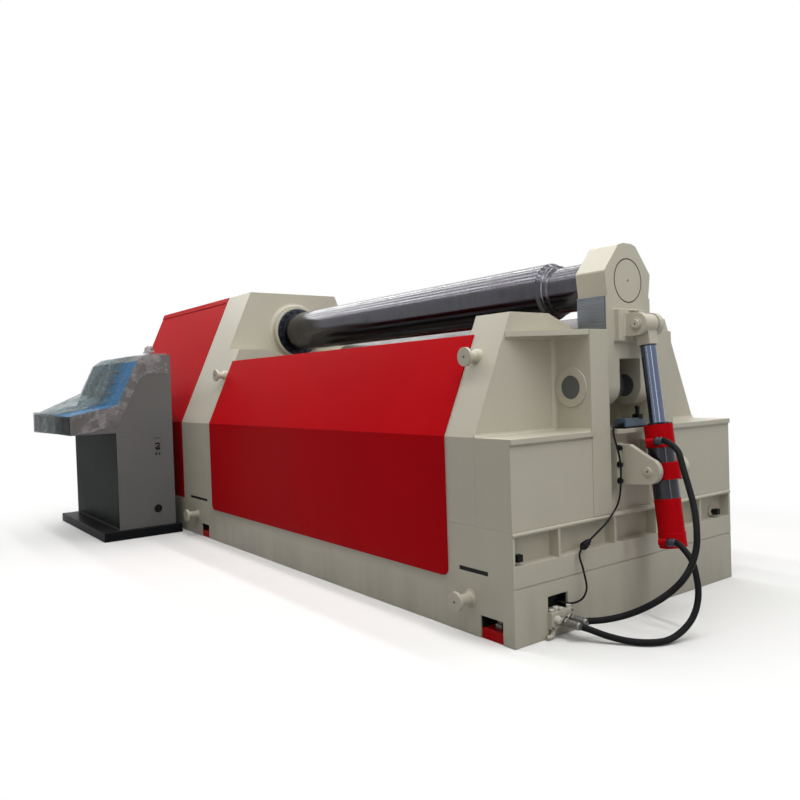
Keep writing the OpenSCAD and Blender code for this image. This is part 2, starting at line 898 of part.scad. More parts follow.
module trunnion_ring() {
    color([0.78, 0.10, 0.12])
        in_barrel_frame()
            difference() {
                union() {
                    translate([0, 0, ring_z0])
                        cylinder(h = ring_z1 - ring_z0, r = ring_r);
                    rotate([90, 0, 0])
                        cylinder(h = 2 * (bracket_in + bracket_t), r = trunnion_r, center = true);
                }
                translate([0, 0, ring_z0 - eps])
                    cylinder(h = ring_z1 - ring_z0 + 2 * eps, r = barrel_r);
            }
}

module cylinder_tail() {
    color([0.78, 0.10, 0.12])
        in_barrel_frame()
            difference() {
                union() {
                    translate([0, 0, cap_z])
                        cylinder(h = sleeve_z - cap_z, r = barrel_r);
                    translate([0, 0, tail_z])
                        cylinder(h = cap_z - tail_z, r = barrel_r + tail_lip);
                    port(tail_port_z, barrel_r + tail_lip - port_sink);
                }
                translate([0, 0, cap_z])
                    cylinder(h = sleeve_z - cap_z + eps, r = bore_r);
            }
}

module piston_rod() {
    color([0.75, 0.76, 0.80])
        in_barrel_frame()
            translate([0, 0, rod_in_z])
                cylinder(h = rod_len - eye_drop - rod_in_z, r = rod_r);
}

module rod_eye() {
    color([0.84, 0.81, 0.72])
        in_barrel_frame()
            translate([0, 0, rod_len])
                difference() {
                    union() {
                        rotate([90, 0, 0])
                            cylinder(h = eye_w, r = eye_r, center = true);
                        translate([-eye_w / 2, -eye_w / 2, -eye_drop])
                            cube([eye_w, eye_w, eye_drop]);
                    }
                    rotate([90, 0, 0])
                        cylinder(h = eye_w + 2 * eps, r = clevis_r + eye_play, center = true);
                }
}

module sensor_shelf() {
    color([0.80, 0.77, 0.69])
        block(end_x - slot_recess, end_x + sensor_out, sensor_y0, sensor_y1, knee_z - sensor_t, knee_z);
}

module limit_switch() {
    color([0.20, 0.25, 0.32])
        block(end_x - switch_in, end_x + switch_out, -switch_half, switch_half, knee_z, knee_z + switch_h);
}

// Hose manifold over the lower part of the opening, and the valve body with its terminals behind it
module valve_block() {
    in_half = valve_open_w / 2 - terminal_gap;
    out_half = valve_open_w / 2 + manifold_side;
    back_x = end_x - valve_open_depth;
    color([0.84, 0.81, 0.72])
        union() {
            block(end_x, end_x + manifold_t, -valve_open_y - out_half, -valve_open_y + out_half, manifold_z0,
                manifold_z1);
            for (p = [upper_union, lower_union])
                rod_x(end_x + manifold_t - eps, end_x + manifold_t + union_len, p[1], p[2], port_r);
            block(back_x, end_x + eps, -valve_open_y - in_half, -valve_open_y + in_half, valve_open_z,
                manifold_z1);
            block(back_x, back_x + terminal_t, -valve_open_y - in_half, -valve_open_y + in_half,
                valve_open_z, valve_open_z + terminal_h);
        }
}

// A round tube swept along a route, straight at both ends, by carrying one side vector from ring to ring
function unit(v) = v / norm(v);
function tangents(p) = [for (i = [0 : len(p) - 1]) unit(p[min(i + 1, len(p) - 1)] - p[max(i - 1, 0)])];
function carried(t, i, n) = i == len(t) ? [] :
    let (side = unit(n - (n * t[i]) * t[i])) concat([side], carried(t, i + 1, side));
function spline(p, i, u) =
    let (a = p[max(i - 1, 0)], b = p[i], c = p[i + 1], d = p[min(i + 2, len(p) - 1)])
    0.5 * (2 * b + (c - a) * u + (2 * a - 5 * b + 4 * c - d) * u * u + (3 * b - a - 3 * c + d) * u * u * u);
function smooth(p, steps) = concat([p[0]],
    [for (i = [1 : len(p) - 3]) for (k = [0 : steps - 1]) spline(p, i, k / steps)],
    [p[len(p) - 2], p[len(p) - 1]]);

module tube(route, r, sides, steps) {
    p = smooth(route, steps);
    t = tangents(p);
    n = carried(t, 0, unit(cross(t[0], [0.2, 1, 0.3])));
    points = [for (i = [0 : len(p) - 1]) for (k = [0 : sides - 1])
        let (a = 360 * k / sides) p[i] + r * (cos(a) * n[i] + sin(a) * cross(t[i], n[i]))];
    walls = [for (i = [0 : len(p) - 2]) for (k = [0 : sides - 1])
        let (a = i * sides, b = (k + 1) % sides) [a + k, a + sides + k, a + sides + b, a + b]];
    last = (len(p) - 1) * sides;
    ends = [[for (k = [0 : sides - 1]) k], [for (k = [sides - 1 : -1 : 0]) last + k]];
    polyhedron(points, concat(walls, ends), convexity = 8);
}

module upper_hose() {
    color([0.12, 0.12, 0.13])
        translate([end_x, 0, 0])
            tube(upper_route, hose_r, hose_sides, hose_steps);
}

module lower_hose() {
    color([0.12, 0.12, 0.13])
        translate([end_x, 0, 0])
            tube(lower_route, hose_r, hose_sides, hose_steps);
}

module sensor_cable() {
    color([0.10, 0.10, 0.11])
        translate([end_x, 0, 0])
            tube(cable_route, cable_r, cable_sides, cable_steps);
}

module console_plinth() {
    color([0.16, 0.16, 0.17])
        block(console_x0 - plinth_side, console_x1 + plinth_side, console_y0 - plinth_front,
            console_y1 + plinth_back, 0, plinth_h);
}

module console_pedestal() {
    color([0.55, 0.56, 0.58])
        block(console_x0, console_x1, console_y0, console_y1, plinth_h, desk_z);
}

module console_desk() {
    color([0.55, 0.56, 0.58])
        along_x(console_x0, console_x1)
            polygon([[desk_y0, desk_z], [desk_y0, lip_z], [shelf_y, shelf_z], [slope_y, slope_z],
                [top_y, console_z], [console_y1, console_z], [console_y1, desk_z]]);
}

module console_switch() {
    color([0.15, 0.15, 0.16])
        union() {
            block(console_x1, console_x1 + switch_box_t, switch_box_y - switch_box_w / 2,
                switch_box_y + switch_box_w / 2, switch_box_z - switch_box_h / 2,
                switch_box_z + switch_box_h / 2);
            rod_x(console_x1 + switch_box_t, console_x1 + switch_box_t + knob_len, switch_box_y,
                switch_box_z, knob_r);
        }
}

base_frame();
drive_base();
right_side_frame();
front_end_box();
rear_end_box();
slot_back();
front_cheek();
rear_cheek();
gusset_shelves();
tall_left_frame();
left_side_frame();
front_panel();
rear_panel();
drive_cover();
lifting_pins();
levelling_feet();
left_bearing();
bottom_bearing();
top_roll();
bottom_roll();
front_side_roll();
rear_side_roll();
pivot_pins();
yoke();
yoke_cap();
yoke_guides();
clevis_pin();
front_trunnion_bracket();
rear_trunnion_bracket();
cylinder_barrel();
cylinder_head();
trunnion_ring();
cylinder_tail();
piston_rod();
rod_eye();
sensor_shelf();
limit_switch();
valve_block();
upper_hose();
lower_hose();
sensor_cable();
console_plinth();
console_pedestal();
console_desk();
console_switch();
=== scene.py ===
"""Looks of the plate rolling machine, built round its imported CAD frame. Metres, +Z up, -Y is the front."""

import json
import math

import bmesh
import bpy
from bpy.props import FloatProperty, FloatVectorProperty, IntProperty, PointerProperty
from mathutils import Matrix, Vector, noise


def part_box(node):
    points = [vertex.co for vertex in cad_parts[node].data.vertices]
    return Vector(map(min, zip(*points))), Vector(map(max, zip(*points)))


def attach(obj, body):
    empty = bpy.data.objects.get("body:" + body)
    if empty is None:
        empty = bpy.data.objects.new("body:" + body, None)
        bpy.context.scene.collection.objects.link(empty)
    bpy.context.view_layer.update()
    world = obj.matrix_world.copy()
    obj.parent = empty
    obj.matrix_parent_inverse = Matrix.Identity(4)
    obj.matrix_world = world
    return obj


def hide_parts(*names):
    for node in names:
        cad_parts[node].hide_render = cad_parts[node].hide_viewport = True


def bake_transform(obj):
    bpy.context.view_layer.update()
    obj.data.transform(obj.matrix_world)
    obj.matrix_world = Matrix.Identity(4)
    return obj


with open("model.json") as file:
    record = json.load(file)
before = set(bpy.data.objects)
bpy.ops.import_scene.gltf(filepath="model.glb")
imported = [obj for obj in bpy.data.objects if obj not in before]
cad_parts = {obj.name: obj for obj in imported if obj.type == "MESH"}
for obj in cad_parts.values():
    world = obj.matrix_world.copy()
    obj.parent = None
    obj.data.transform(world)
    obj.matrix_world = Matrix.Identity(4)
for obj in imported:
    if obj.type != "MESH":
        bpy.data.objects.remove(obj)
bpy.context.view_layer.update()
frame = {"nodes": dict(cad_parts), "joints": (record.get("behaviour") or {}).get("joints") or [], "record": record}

bl_info = {
    "name": "Plate Rolling Machine Looks",
    "version": (1, 0, 0),
    "blender": (4, 5, 0),
    "location": "3D View > Sidebar > Plate Roll",
    "description": "Dresses the CAD frame of a plate rolling machine with paint, hoses, welds and fittings",
    "category": "Object",
}

X_AXIS, Z_AXIS = Vector((1, 0, 0)), Vector((0, 0, 1))
SIDES = (-1, 1)

# Places taken from the CAD frame
END_X, HALF_DEPTH, BASE_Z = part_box("base_frame")[1]
WEB_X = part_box("right_side_frame")[1].x
LIP_X, SLOT_Y, KNEE_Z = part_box("front_end_box")[1]
SLOT_HALF = -SLOT_Y
SLOT_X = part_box("slot_back")[1].x
SHELF_LO, SHELF_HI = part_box("gusset_shelves")
CHEEK_T = 0.116
CHEEK_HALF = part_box("rear_cheek")[0].y + CHEEK_T
TALL_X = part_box("left_side_frame")[0].x
RING_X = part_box("left_bearing")[1].x
COVER_LO, COVER_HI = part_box("drive_cover")
YOKE_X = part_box("yoke_cap")[1].x
PIN_LO, PIN_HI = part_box("clevis_pin")
BRACKET_LO, BRACKET_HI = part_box("front_trunnion_bracket")
SWITCH_LO, SWITCH_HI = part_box("limit_switch")
VALVE_LO, VALVE_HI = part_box("valve_block")
DESK_LO, DESK_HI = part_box("console_desk")
PEDESTAL_LO, PEDESTAL_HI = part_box("console_pedestal")
KEY_LO, KEY_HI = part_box("console_switch")

JOINTS = {j["name"]: j for j in frame["joints"]}
TRUNNION = Vector(JOINTS["cylinder_swing"]["pos_m"])
ROLL_AXIS = Vector(JOINTS["top_roll_spin"]["pos_m"])
ROD_DIR = Vector(JOINTS["rod_slide"]["axis"]).normalized()

# Lean of the upper front and back faces
LEAN = math.atan2(HALF_DEPTH - SHELF_HI.y, SHELF_HI.z - KNEE_Z)
LEAN_UP = Vector((0, math.sin(LEAN), math.cos(LEAN)))
LEAN_OUT = Vector((0, -math.cos(LEAN), math.sin(LEAN)))


def lean_y(z):
    """Half depth of the frame at a height."""
    return HALF_DEPTH - max(0, z - KNEE_Z) * math.tan(LEAN)


# Hose and cable routes of the CAD source
UPPER_ROUTE = [
    (1.753167, -0.072, 0.713325), (1.792898, -0.072, 0.717964), (1.862, -0.090, 0.684), (1.895, -0.108, 0.622),
    (1.930, -0.128, 0.553), (1.962, -0.148, 0.483), (1.985, -0.172, 0.412), (1.998, -0.200, 0.340),
    (1.990, -0.238, 0.267), (1.960, -0.280, 0.207), (1.905, -0.325, 0.152), (1.830, -0.370, 0.104),
    (1.750, -0.418, 0.074), (1.6808, -0.468, 0.066), (1.6408, -0.468, 0.066),
]
LOWER_ROUTE = [
    (1.799437, -0.072, 0.317017), (1.839167, -0.072, 0.321656), (1.902, -0.082, 0.272), (1.930, -0.092, 0.212),
    (1.946, -0.108, 0.145), (1.950, -0.145, 0.082), (1.944, -0.205, 0.038), (1.932, -0.285, 0.015),
    (1.900, -0.352, 0.013), (1.845, -0.395, 0.014), (1.785, -0.438, 0.027), (1.731, -0.474, 0.046),
    (1.6808, -0.506, 0.060), (1.6408, -0.506, 0.060),
]
CABLE_ROUTE = [
    (1.600, -0.0708, 0.777), (1.602, -0.110, 0.778), (1.608, -0.140, 0.766), (1.614, -0.148, 0.735),
    (1.624, -0.145, 0.695), (1.633, -0.138, 0.640), (1.634, -0.136, 0.570), (1.630, -0.150, 0.470),
    (1.626, -0.220, 0.398), (1.622, -0.320, 0.342), (1.624, -0.390, 0.300), (1.636, -0.386, 0.235),
    (1.640, -0.374, 0.165), (1.636, -0.396, 0.126), (1.621, -0.436, 0.113), (1.593, -0.463, 0.116),
    (1.5628, -0.472, 0.119),
]
CONNECTOR_AT = Vector((1.6225, -0.35, 0.328))

# Sizes of the CAD source that the boxes don't give
COVER_T = 0.020
BOSS_R = 0.186
PAD_HALF, PAD_T, PAD_Z0, PAD_Z1 = 0.102, 0.025, 1.121, 1.250
EAR_OUT, EAR_REACH = 0.061, 0.020
BRACKET_FOOT_X, BRACKET_OUT, BRACKET_IN = 1.610, 0.105, 0.080
LIFT_PIN_LEN, LIFT_PIN_ROOT = 0.084, 0.012
LIFTING_PINS = [(1.372, 0.140), (-1.370, 0.140), (1.300, 1.073), (-1.150, 1.073)]
SLITS = [(END_X - 0.293, END_X - 0.131), (0.110 - END_X, 0.406 - END_X)]
SLIT_Z0, SLIT_Z1 = 0.240, 0.258
FEET_X = (1.486, -1.246)
FEET = [(x, side * 0.675) for x in FEET_X for side in SIDES]
FOOT_TOP, POCKET_TOP, POCKET_DEPTH = 0.038, 0.0855, 0.1195
ROD_R, ROD_LEN, HEAD_TOP = 0.030, 0.595014, 0.182
EYE_FOOT = ROD_LEN - 0.086
ROLL_BODY_END = 1.190
ADJUSTER_YS, ADJUSTER_Z = (-0.690, 0.640), 0.3225
OPENING_Y0, OPENING_Y1, OPENING_Z0, OPENING_Z1 = -0.556, -0.444, 0.045, 0.157
VALVE_FACE_X, VALVE_TOP = END_X + 0.020, 0.098
HOLE_Y, HOLE_Z = -0.928, 0.177

# The desk's front profile as (Y, Z), from under the lip to the back of the top
DESK_PROFILE = [(DESK_LO.y, DESK_LO.z + 0.004), (DESK_LO.y, 0.834), (-1.172, 0.894), (-1.031, 1.192),
                (-0.968, DESK_HI.z), (DESK_HI.y - 0.02, DESK_HI.z)]

# Layout of the small pieces
GAP, SHADE_PLATE_T = 0.0002, 0.001
BOLT_CIRCLE_R = 0.148
BRACKET_BOLT_Y, BRACKET_BOLT_ZS = 0.1165, (0.550, 0.616, 0.684)
PORT_SHARE = 0.45
CRIMPS, CRIMP = 5, ((1.28, 0), (1.30, 0.2), (1.30, 0.65), (1.20, 0.8))
VALVE_KNOBS = ((1.6145, -0.547, 0.0085, 0.014), (1.613, -0.524, 0.010, 0.020), (1.615, -0.500, 0.0085, 0.012),
               (1.613, -0.452, 0.0085, 0.015))
DRAIN_ROUTE = [(1.6155, -0.540, 0.038), (1.6155, -0.541, 0.030), (1.617, -0.546, 0.020), (1.618, -0.552, 0.012),
               (1.618, -0.562, 0.0095), (1.617, -0.580, 0.0092)]

# Screen and buttons on the desk, from its left edge and along its slope and ledge
SCREEN_X0, SCREEN_X1, SCREEN_LOW, SCREEN_HIGH = 0.16, 0.46, 0.07, 0.27
BUTTON_X, BUTTON_UP, BUTTON_STEP_X, BUTTON_STEP_UP = 0.52, 0.085, 0.060, 0.085
LEDGE_BUTTON_X, LEDGE_BUTTON_IN, LEDGE_BUTTON_STEP = 0.16, 0.21, 0.12

# Wrap over the desk: its grid, how far it bridges the inner corner, and how it stands off
WRAP_COLUMNS, WRAP_STEPS = 120, (12, 28, 26, 28, 8, 16)
WRAP_TIGHT, WRAP_REACH, WRAP_CURVE, WRAP_RISE = 0.012, (0.27, 0.085), 1.3, 0.014
WRAP_LIFT, WRAP_CRUMPLE = 0.0072, 0.0032
FLAP_ROWS, FLAP_OVER, FLAP_DROP, FLAP_WAVE = 26, 0.008, 0.13, 0.012
FLAP_LIFT, FLAP_CRUMPLE = 0.0040, 0.0030
KNOT_ROWS, KNOT_SIDES, KNOT_R, KNOT_TALL, KNOT_WIDE, KNOT_SLACK = 14, 26, 0.034, 0.052, 0.16, 1.06

# Nodes whose finish differs from their slot's usual one
NODE_FINISHES = {"console_switch": "black_plastic", "pivot_pins": "pin_steel", "bottom_roll": "shaft_steel",
                 "front_side_roll": "shaft_steel", "rear_side_roll": "shaft_steel"}

# Colours of what settles on the finishes, and of the painted glints along the film's fold lines
DUST, GRIME, BLOOM = (0.50, 0.48, 0.43, 1), (0.10, 0.09, 0.075, 1), (0.20, 0.19, 0.17, 1)
FOLD_GLINT = (0.75, 0.80, 0.80, 1)

# Floor, and lamps as (name, place, target, size, share of the strips' power)
WHITE = (1, 1, 1, 1)
FLOOR_HALF, FLOOR_DROP, FLOOR_BOUNCE = 30.0, 0.001, 0.32
FADE_SHAPE, FADE_SPAN = (0.6, 1, 1), (1.5, 3.0)
FILL_SPAN, FILL_SHARES = (-0.3, 0.9), (0.55, 1.5)
ROOF_X, ROOF_Z, ROOF_SIZE = -2.5, 4.6, (13.0, 0.25)
ROOF_STRIPS = ((-2.6, 0.5), (-1.5, 0.9), (-0.4, 0.6), (0.8, 0.6), (2.2, 0.7))
TALL_SIZE = (0.5, 3.2)
LAMPS = [(f"roof_strip_{k}", (ROOF_X, y, ROOF_Z), (ROOF_X, y * 0.7, 0.5), ROOF_SIZE, share)
         for k, (y, share) in enumerate(ROOF_STRIPS)]
LAMPS += [
    ("end_strip", (4.0, -0.4, 4.4), (2.0, 0, 0.6), (0.4, 4.0), 0.4),
    ("tall_strip_right", (5.8, -1.6, 1.9), (1.7, 0, 0.9), TALL_SIZE, 0.16),
    ("tall_strip_front", (2.6, -5.8, 1.9), (1.2, 0, 0.9), TALL_SIZE, 0.08),
]


def colour(name, description, rgb):
    """A colour property with the given default."""
    return FloatVectorProperty(name=name, description=description, default=rgb, min=0, max=1, size=3, subtype="COLOR")


def length(name, description, metres):
    """A length property with the given default."""
    return FloatProperty(name=name, description=description, default=metres, min=0, unit="LENGTH", precision=4)


def angle(name, description, degrees):
    """An angle property with the given default."""
    return FloatProperty(name=name, description=description, default=math.radians(degrees), subtype="ANGLE")


class PlateRollFinishes(bpy.types.PropertyGroup):
    """Colours of the machine's paints, steels and plastics"""

    cream: colour("Frame paint", "Cream paint of the welded frame", (0.535, 0.505, 0.412))
    red: colour("Red paint", "Paint of the panels, the drive cover and the cylinder", (0.48, 0.004, 0.008))
    roll: colour("Roll steel", "Ground steel of the rolls", (0.072, 0.070, 0.080))
    guide: colour("Guide steel", "Bare machined steel of the yoke's guides", (0.15, 0.165, 0.18))
    dark_steel: colour("Dark steel", "Oiled steel of the bearing ring and its bolts", (0.055, 0.058, 0.075))
    shaft: colour("Shaft steel", "Dull steel of the lower rolls", (0.115, 0.110, 0.108))
    pin: colour("Pivot steel", "Dull grey ends of the pivot pins", (0.11, 0.12, 0.115))
    # Hard chrome, coloured dark blue-grey as a painted reflection of the dark surroundings it mirrors
    chrome: colour("Chrome", "Hard chrome of the piston rod", (0.115, 0.14, 0.195))
    barrel: colour("Barrel", "Black gloss paint of the cylinder's barrel", (0.018, 0.016, 0.028))
    rubber: colour("Rubber", "Black hose and cable covers", (0.011, 0.011, 0.012))
    zinc: colour("Zinc", "Plated hose fittings and screws", (0.20, 0.195, 0.18))
    switch: colour("Switch", "Blue-grey housing of the end switch", (0.075, 0.125, 0.18))
    plastic: colour("Black plastic", "Small black plastic pieces", (0.010, 0.010, 0.012))
    knob: colour("Pale plastic", "Pale knobs and plugs on the valve", (0.62, 0.60, 0.52))
    console: colour("Console paint", "Grey powder coat of the console", (0.150, 0.150, 0.146))
    # Painted shade: near-black colour that stands for the shade on the console's front faces
    console_front_shade: colour("Console front", "Darker paint of the console's front", (0.019, 0.022, 0.024))
    plinth: colour("Plinth paint", "Dark paint of the console's plinth", (0.010, 0.011, 0.012))
    # Painted shade: near-black colour for the insides of openings, slits, grooves and drill marks
    shade: colour("Dark hollow", "Unpainted insides of the openings", (0.010, 0.010, 0.011))
    blue_film: colour("Blue film", "Protective film on the desk", (0.010, 0.19, 0.44))
    wrap: colour("Wrap", "Haze of the clear wrap over the desk", (0.052, 0.112, 0.118))
    side_wrap: colour("Side wrap", "Haze of the wrap that hangs over the desk's side", (0.34, 0.325, 0.325))


class PlateRollSizes(bpy.types.PropertyGroup):
    """Sizes of the small pieces that the CAD source leaves out"""

    hose: length("Hose diameter", "Outer diameter of the two hydraulic hoses", 0.024)
    cable: length("Cable diameter", "Outer diameter of the switch cable", 0.008)
    ferrule: length("Ferrule length", "Length of the crimped sleeve on a hose end", 0.072)
    weld: length("Weld leg", "Leg of the fillet welds of the frame", 0.014)
    small_weld: length("Small weld leg", "Leg of the fillet welds of the small fittings", 0.007)
    bracket_bolt: length("Bracket bolt", "Width across the heads of the bracket bolts", 0.024)
    ring_bolt: length("Bearing bolt", "Head diameter of the bearing ring's bolts", 0.019)
    ring_bolts: IntProperty(name="Bearing bolts", description="Bolts round the bearing ring", default=18, min=3)
    hem: length("Cover hem", "Width of the folded hem on the drive cover", 0.042)
    button: length("Button", "Diameter of the desk's push buttons", 0.026)


class PlateRollStage(bpy.types.PropertyGroup):
    """Camera, floor and lamps"""

    camera: FloatVectorProperty(name="Camera", description="Place of the camera", default=(3.5021, -2.6424, 0.9679),
                                size=3, subtype="TRANSLATION")
    yaw: angle("Yaw", "Turn of the view from +Y, clockwise", -53.113)
    pitch: angle("Pitch", "Fall of the view below the horizon", 1.3086)
    roll: angle("Roll", "Roll of the camera about the view", -1.878)
    lens: FloatProperty(name="Lens", description="Focal length on a 36 mm sensor, in millimetres", default=33.45)
    rise: FloatProperty(name="Rise", description="Vertical shift of the lens", default=0.003)
    floor: colour("Floor", "Pale studio floor", (0.88, 0.88, 0.87))
    fill: FloatProperty(name="Fill", description="Level of the even light from all round", default=0.17)
    strips: FloatProperty(name="Strips", description="Power of each overhead strip, in watts", default=150.0)


# Shapes


def across(axis):
    """Two unit vectors square to an axis and to each other."""
    axis = Vector(axis).normalized()
    u = axis.cross(Z_AXIS if abs(axis.z) < 0.9 else X_AXIS).normalized()
    return u, axis.cross(u)


def circle(at, axis, radius, height, sides):
    """Points of a circle at a height along an axis."""
    at, axis = Vector(at), Vector(axis).normalized()
    u, v = across(axis)
    turns = (math.tau * (k + 0.5) / sides for k in range(sides))
    return [at + axis * height + (u * math.cos(t) + v * math.sin(t)) * radius for t in turns]


def hollow_weld(leg, steps=5):
    """Section of a hollow weld as two legs' lengths, from one face round to the other."""
    turns = (math.pi / 2 * k / steps for k in range(steps + 1))
    return [(leg * (1 - math.sin(t)), leg * (1 - math.cos(t))) for t in turns]


class Shape:
    """Vertices and faces of one piece, gathered part by part."""

    def __init__(self):
        self.verts = []
        self.faces = []

    def add(self, verts, faces):
        base = len(self.verts)
        self.verts += [tuple(v) for v in verts]
        self.faces += [tuple(base + i for i in face) for face in faces]
        return self

    def skin(self, rings, looped=False):
        """Skin over a row of rings, capped at both ends or looped back to the first ring."""
        n, m = len(rings[0]), len(rings)
        steps = m if looped else m - 1
        faces = [(i * n + k, i * n + (k + 1) % n, (i + 1) % m * n + (k + 1) % n, (i + 1) % m * n + k)
                 for i in range(steps) for k in range(n)]
        if not looped:
            faces += [tuple(range(n))[::-1], tuple((m - 1) * n + k for k in range(n))]
        return self.add([p for ring in rings for p in ring], faces)

    def turned(self, at, axis, profile, sides=32):
        """Solid turned part: profile lists (radius, height along the axis)."""
        return self.skin([circle(at, axis, r, h, sides) for r, h in profile])

    def ring(self, at, axis, loop, sides=48):
        """Turned ring with an open bore: loop is its closed section of (radius, height)."""
        return self.skin([circle(at, axis, r, h, sides) for r, h in loop], looped=True)

    def ring_weld(self, at, axis, radius, leg, sides=48):
        """Hollow weld round a pin or boss that stands on a face."""
        arc = [(radius + out, up) for out, up in hollow_weld(leg)]
        return self.ring(at, axis, [(radius - leg * 0.1, -leg * 0.1)] + arc, sides)

    def prism(self, outline, depth):
        """Outline of points swept along the depth vector."""
        outline = [Vector(p) for p in outline]
        return self.skin([outline, [p + Vector(depth) for p in outline]])

    def slab(self, lo, hi):
        """Block between two corners."""
        (x0, y0, z0), (x1, y1, z1) = lo, hi
        return self.prism([(x0, y0, z0), (x1, y0, z0), (x1, y1, z0), (x0, y1, z0)], (0, 0, z1 - z0))

    def slabs(self, lo, hi):
        """Block between two corners on the rear side, after its mirror image in front."""
        (x0, y0, z0), (x1, y1, z1) = lo, hi
        return self.slab((x0, -y1, z0), (x1, -y0, z1)).slab(lo, hi)

    def fillet(self, a, b, u, v, leg):
        """Hollow fillet weld in the corner line from a to b, reaching leg along u and v."""
        u, v = Vector(u).normalized(), Vector(v).normalized()
        rings = []
        for end in (Vector(a), Vector(b)):
            arc = [end + u * p + v * q for p, q in hollow_weld(leg)]
            rings.append([end - (u + v) * leg * 0.1] + arc)
        return self.skin(rings)

    def tube(self, path, radius, sides=20):
        """Round tube along a path, with one side vector carried from ring to ring."""
        path = [Vector(p) for p in path]
        side = None
        rings = []
        for i, p in enumerate(path):
            t = (path[min(i + 1, len(path) - 1)] - path[max(i - 1, 0)]).normalized()
            side = across(t)[0] if side is None else (side - t * side.dot(t)).normalized()
            other = t.cross(side)
            turns = (math.tau * k / sides for k in range(sides))
            rings.append([p + (side * math.cos(a) + other * math.sin(a)) * radius for a in turns])
        return self.skin(rings)

    def hex_head(self, at, axis, width, height, washer=0.0):
        """Hexagon head with a chamfered top, on a washer of the given thickness."""
        r = width / math.sqrt(3)
        if washer:
            self.turned(at, axis, [(r * 1.25, 0), (r * 1.25, washer * 0.8), (r * 1.2, washer)], 24)
        top = [(r, washer * 0.9), (r, washer + height * 0.82), (r * 0.86, washer + height)]
        return self.turned(at, axis, top, 6)

    def socket_head(self, at, axis, width, height):
        """Round cap screw head with a socket sunk in its top."""
        r, key = width / 2, width * 0.27
        rim = [(r, 0), (r, height * 0.88), (r * 0.9, height), (key * 1.08, height), (key, height * 0.92)]
        return self.turned(at, axis, rim + [(key, height * 0.45)], 20)

    def centre_mark(self, at, axis, radius):
        """Rim round a sunk centre-drill mark."""
        steps = [(radius, -0.0005), (radius, 0.0006), (radius * 0.8, 0.0012), (radius * 0.6, 0.0004)]
        return self.turned(at, axis, steps + [(radius * 0.25, -0.0004)], 20)


def piece(name, shape, finish, body="frame"):
    """Makes one object from a shape and lets it ride on a CAD body."""
    obj = loose_piece(name, shape, finish)
    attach(obj, body)
    return obj


def loose_piece(name, shape, finish, smooth_deg=35, closed=True):
    """Makes one object from a shape, not yet on any body."""
    mesh = bpy.data.meshes.new(name)
    mesh.from_pydata(shape.verts, [], shape.faces)
    if closed:
        bm = bmesh.new()
        bm.from_mesh(mesh)
        bmesh.ops.recalc_face_normals(bm, faces=bm.faces)
        bm.to_mesh(mesh)
        bm.free()
    mesh.materials.append(material(finish))
    mesh.shade_smooth()
    mesh.set_sharp_from_angle(angle=math.radians(smooth_deg))
    obj = bpy.data.objects.new(name, mesh)
    bpy.context.scene.collection.objects.link(obj)
    return obj


def smooth_route(points, steps=8):
    """Curve through the route's points, straight over the first and last span."""
    p = [Vector(q) for q in points]
    out = [p[0]]
    for i in range(1, len(p) - 2):
        a, b, c, d = p[i - 1], p[i], p[i + 1], p[i + 2]
        for k in range(steps):
            u = k / steps
            out.append(0.5 * (2 * b + (c - a) * u + (2 * a - 5 * b + 4 * c - d) * u ** 2
                              + (3 * b - a - 3 * c + d) * u ** 3))
    return out + [p[-2], p[-1]]


def route_length(path):
    """Length of a path of points."""
    return sum((b - a).length for a, b in zip(path, path[1:]))


# Materials


class Graph:
    """Short way to add and link shader nodes in one node tree."""

    def __init__(self, tree):
        self.tree = tree

    def fill(self, made, inputs):
        for key, value in inputs.items():
            if isinstance(value, bpy.types.NodeSocket):
                self.tree.links.new(value, made.inputs[key])
            else:
                made.inputs[key].default_value = value
        return made

    def add(self, kind, inputs=None, **settings):
        made = self.tree.nodes.new(kind)
        for key, value in settings.items():
            setattr(made, key, value)
        return self.fill(made, inputs or {})

    def math(self, operation, a, b=0.0):
        return self.add("ShaderNodeMath", {0: a, 1: b}, operation=operation).outputs[0]

    def mix(self, factor, a, b):
        return self.add("ShaderNodeMix", {0: factor, 6: a, 7: b}, data_type="RGBA").outputs[2]

    def ramp(self, value, low, high, to_low=0.0, to_high=1.0):
        ends = {0: value, 1: low, 2: high, 3: to_low, 4: to_high}
        return self.add("ShaderNodeMapRange", ends, interpolation_type="SMOOTHSTEP").outputs[0]

    def noise(self, where, scale, detail=2.0, rough=0.5, stretch=None):
        if stretch:
            where = self.add("ShaderNodeMapping", {"Vector": where, "Scale": stretch}).outputs[0]
        ends = {"Vector": where, "Scale": scale, "Detail": detail, "Roughness": rough}
        return self.add("ShaderNodeTexNoise", ends).outputs["Fac"]

    def place(self):
        return self.add("ShaderNodeTexCoord").outputs["Object"]

    def parts(self, vector):
        return self.add("ShaderNodeSeparateXYZ", {0: vector}).outputs

    def group(self, tree, inputs):
        return self.fill(self.add("ShaderNodeGroup", node_tree=tree), inputs).outputs

    def link(self, shader, **inputs):
        for key, value in inputs.items():
            self.tree.links.new(value, shader.inputs[key.replace("_", " ")])

    def seen(self):
        """One for rays that reach the eye straight, by reflection or through film."""
        rays = self.add("ShaderNodeLightPath").outputs
        mirrored = self.math("MAXIMUM", rays["Is Camera Ray"], rays["Is Glossy Ray"])
        return self.math("MAXIMUM", mirrored, rays["Is Transmission Ray"])


def new_group(name, inputs, outputs):
    """Empty shader group with named sockets; returns its graph, its inputs and its output sockets."""
    tree = bpy.data.node_groups.new(name, "ShaderNodeTree")
    for label, kind, default in inputs:
        socket = tree.interface.new_socket(label, in_out="INPUT", socket_type="NodeSocket" + kind)
        socket.default_value = default
    for label, kind in outputs:
        tree.interface.new_socket(label, in_out="OUTPUT", socket_type="NodeSocket" + kind)
    graph = Graph(tree)
    return graph, graph.add("NodeGroupInput").outputs, graph.add("NodeGroupOutput")


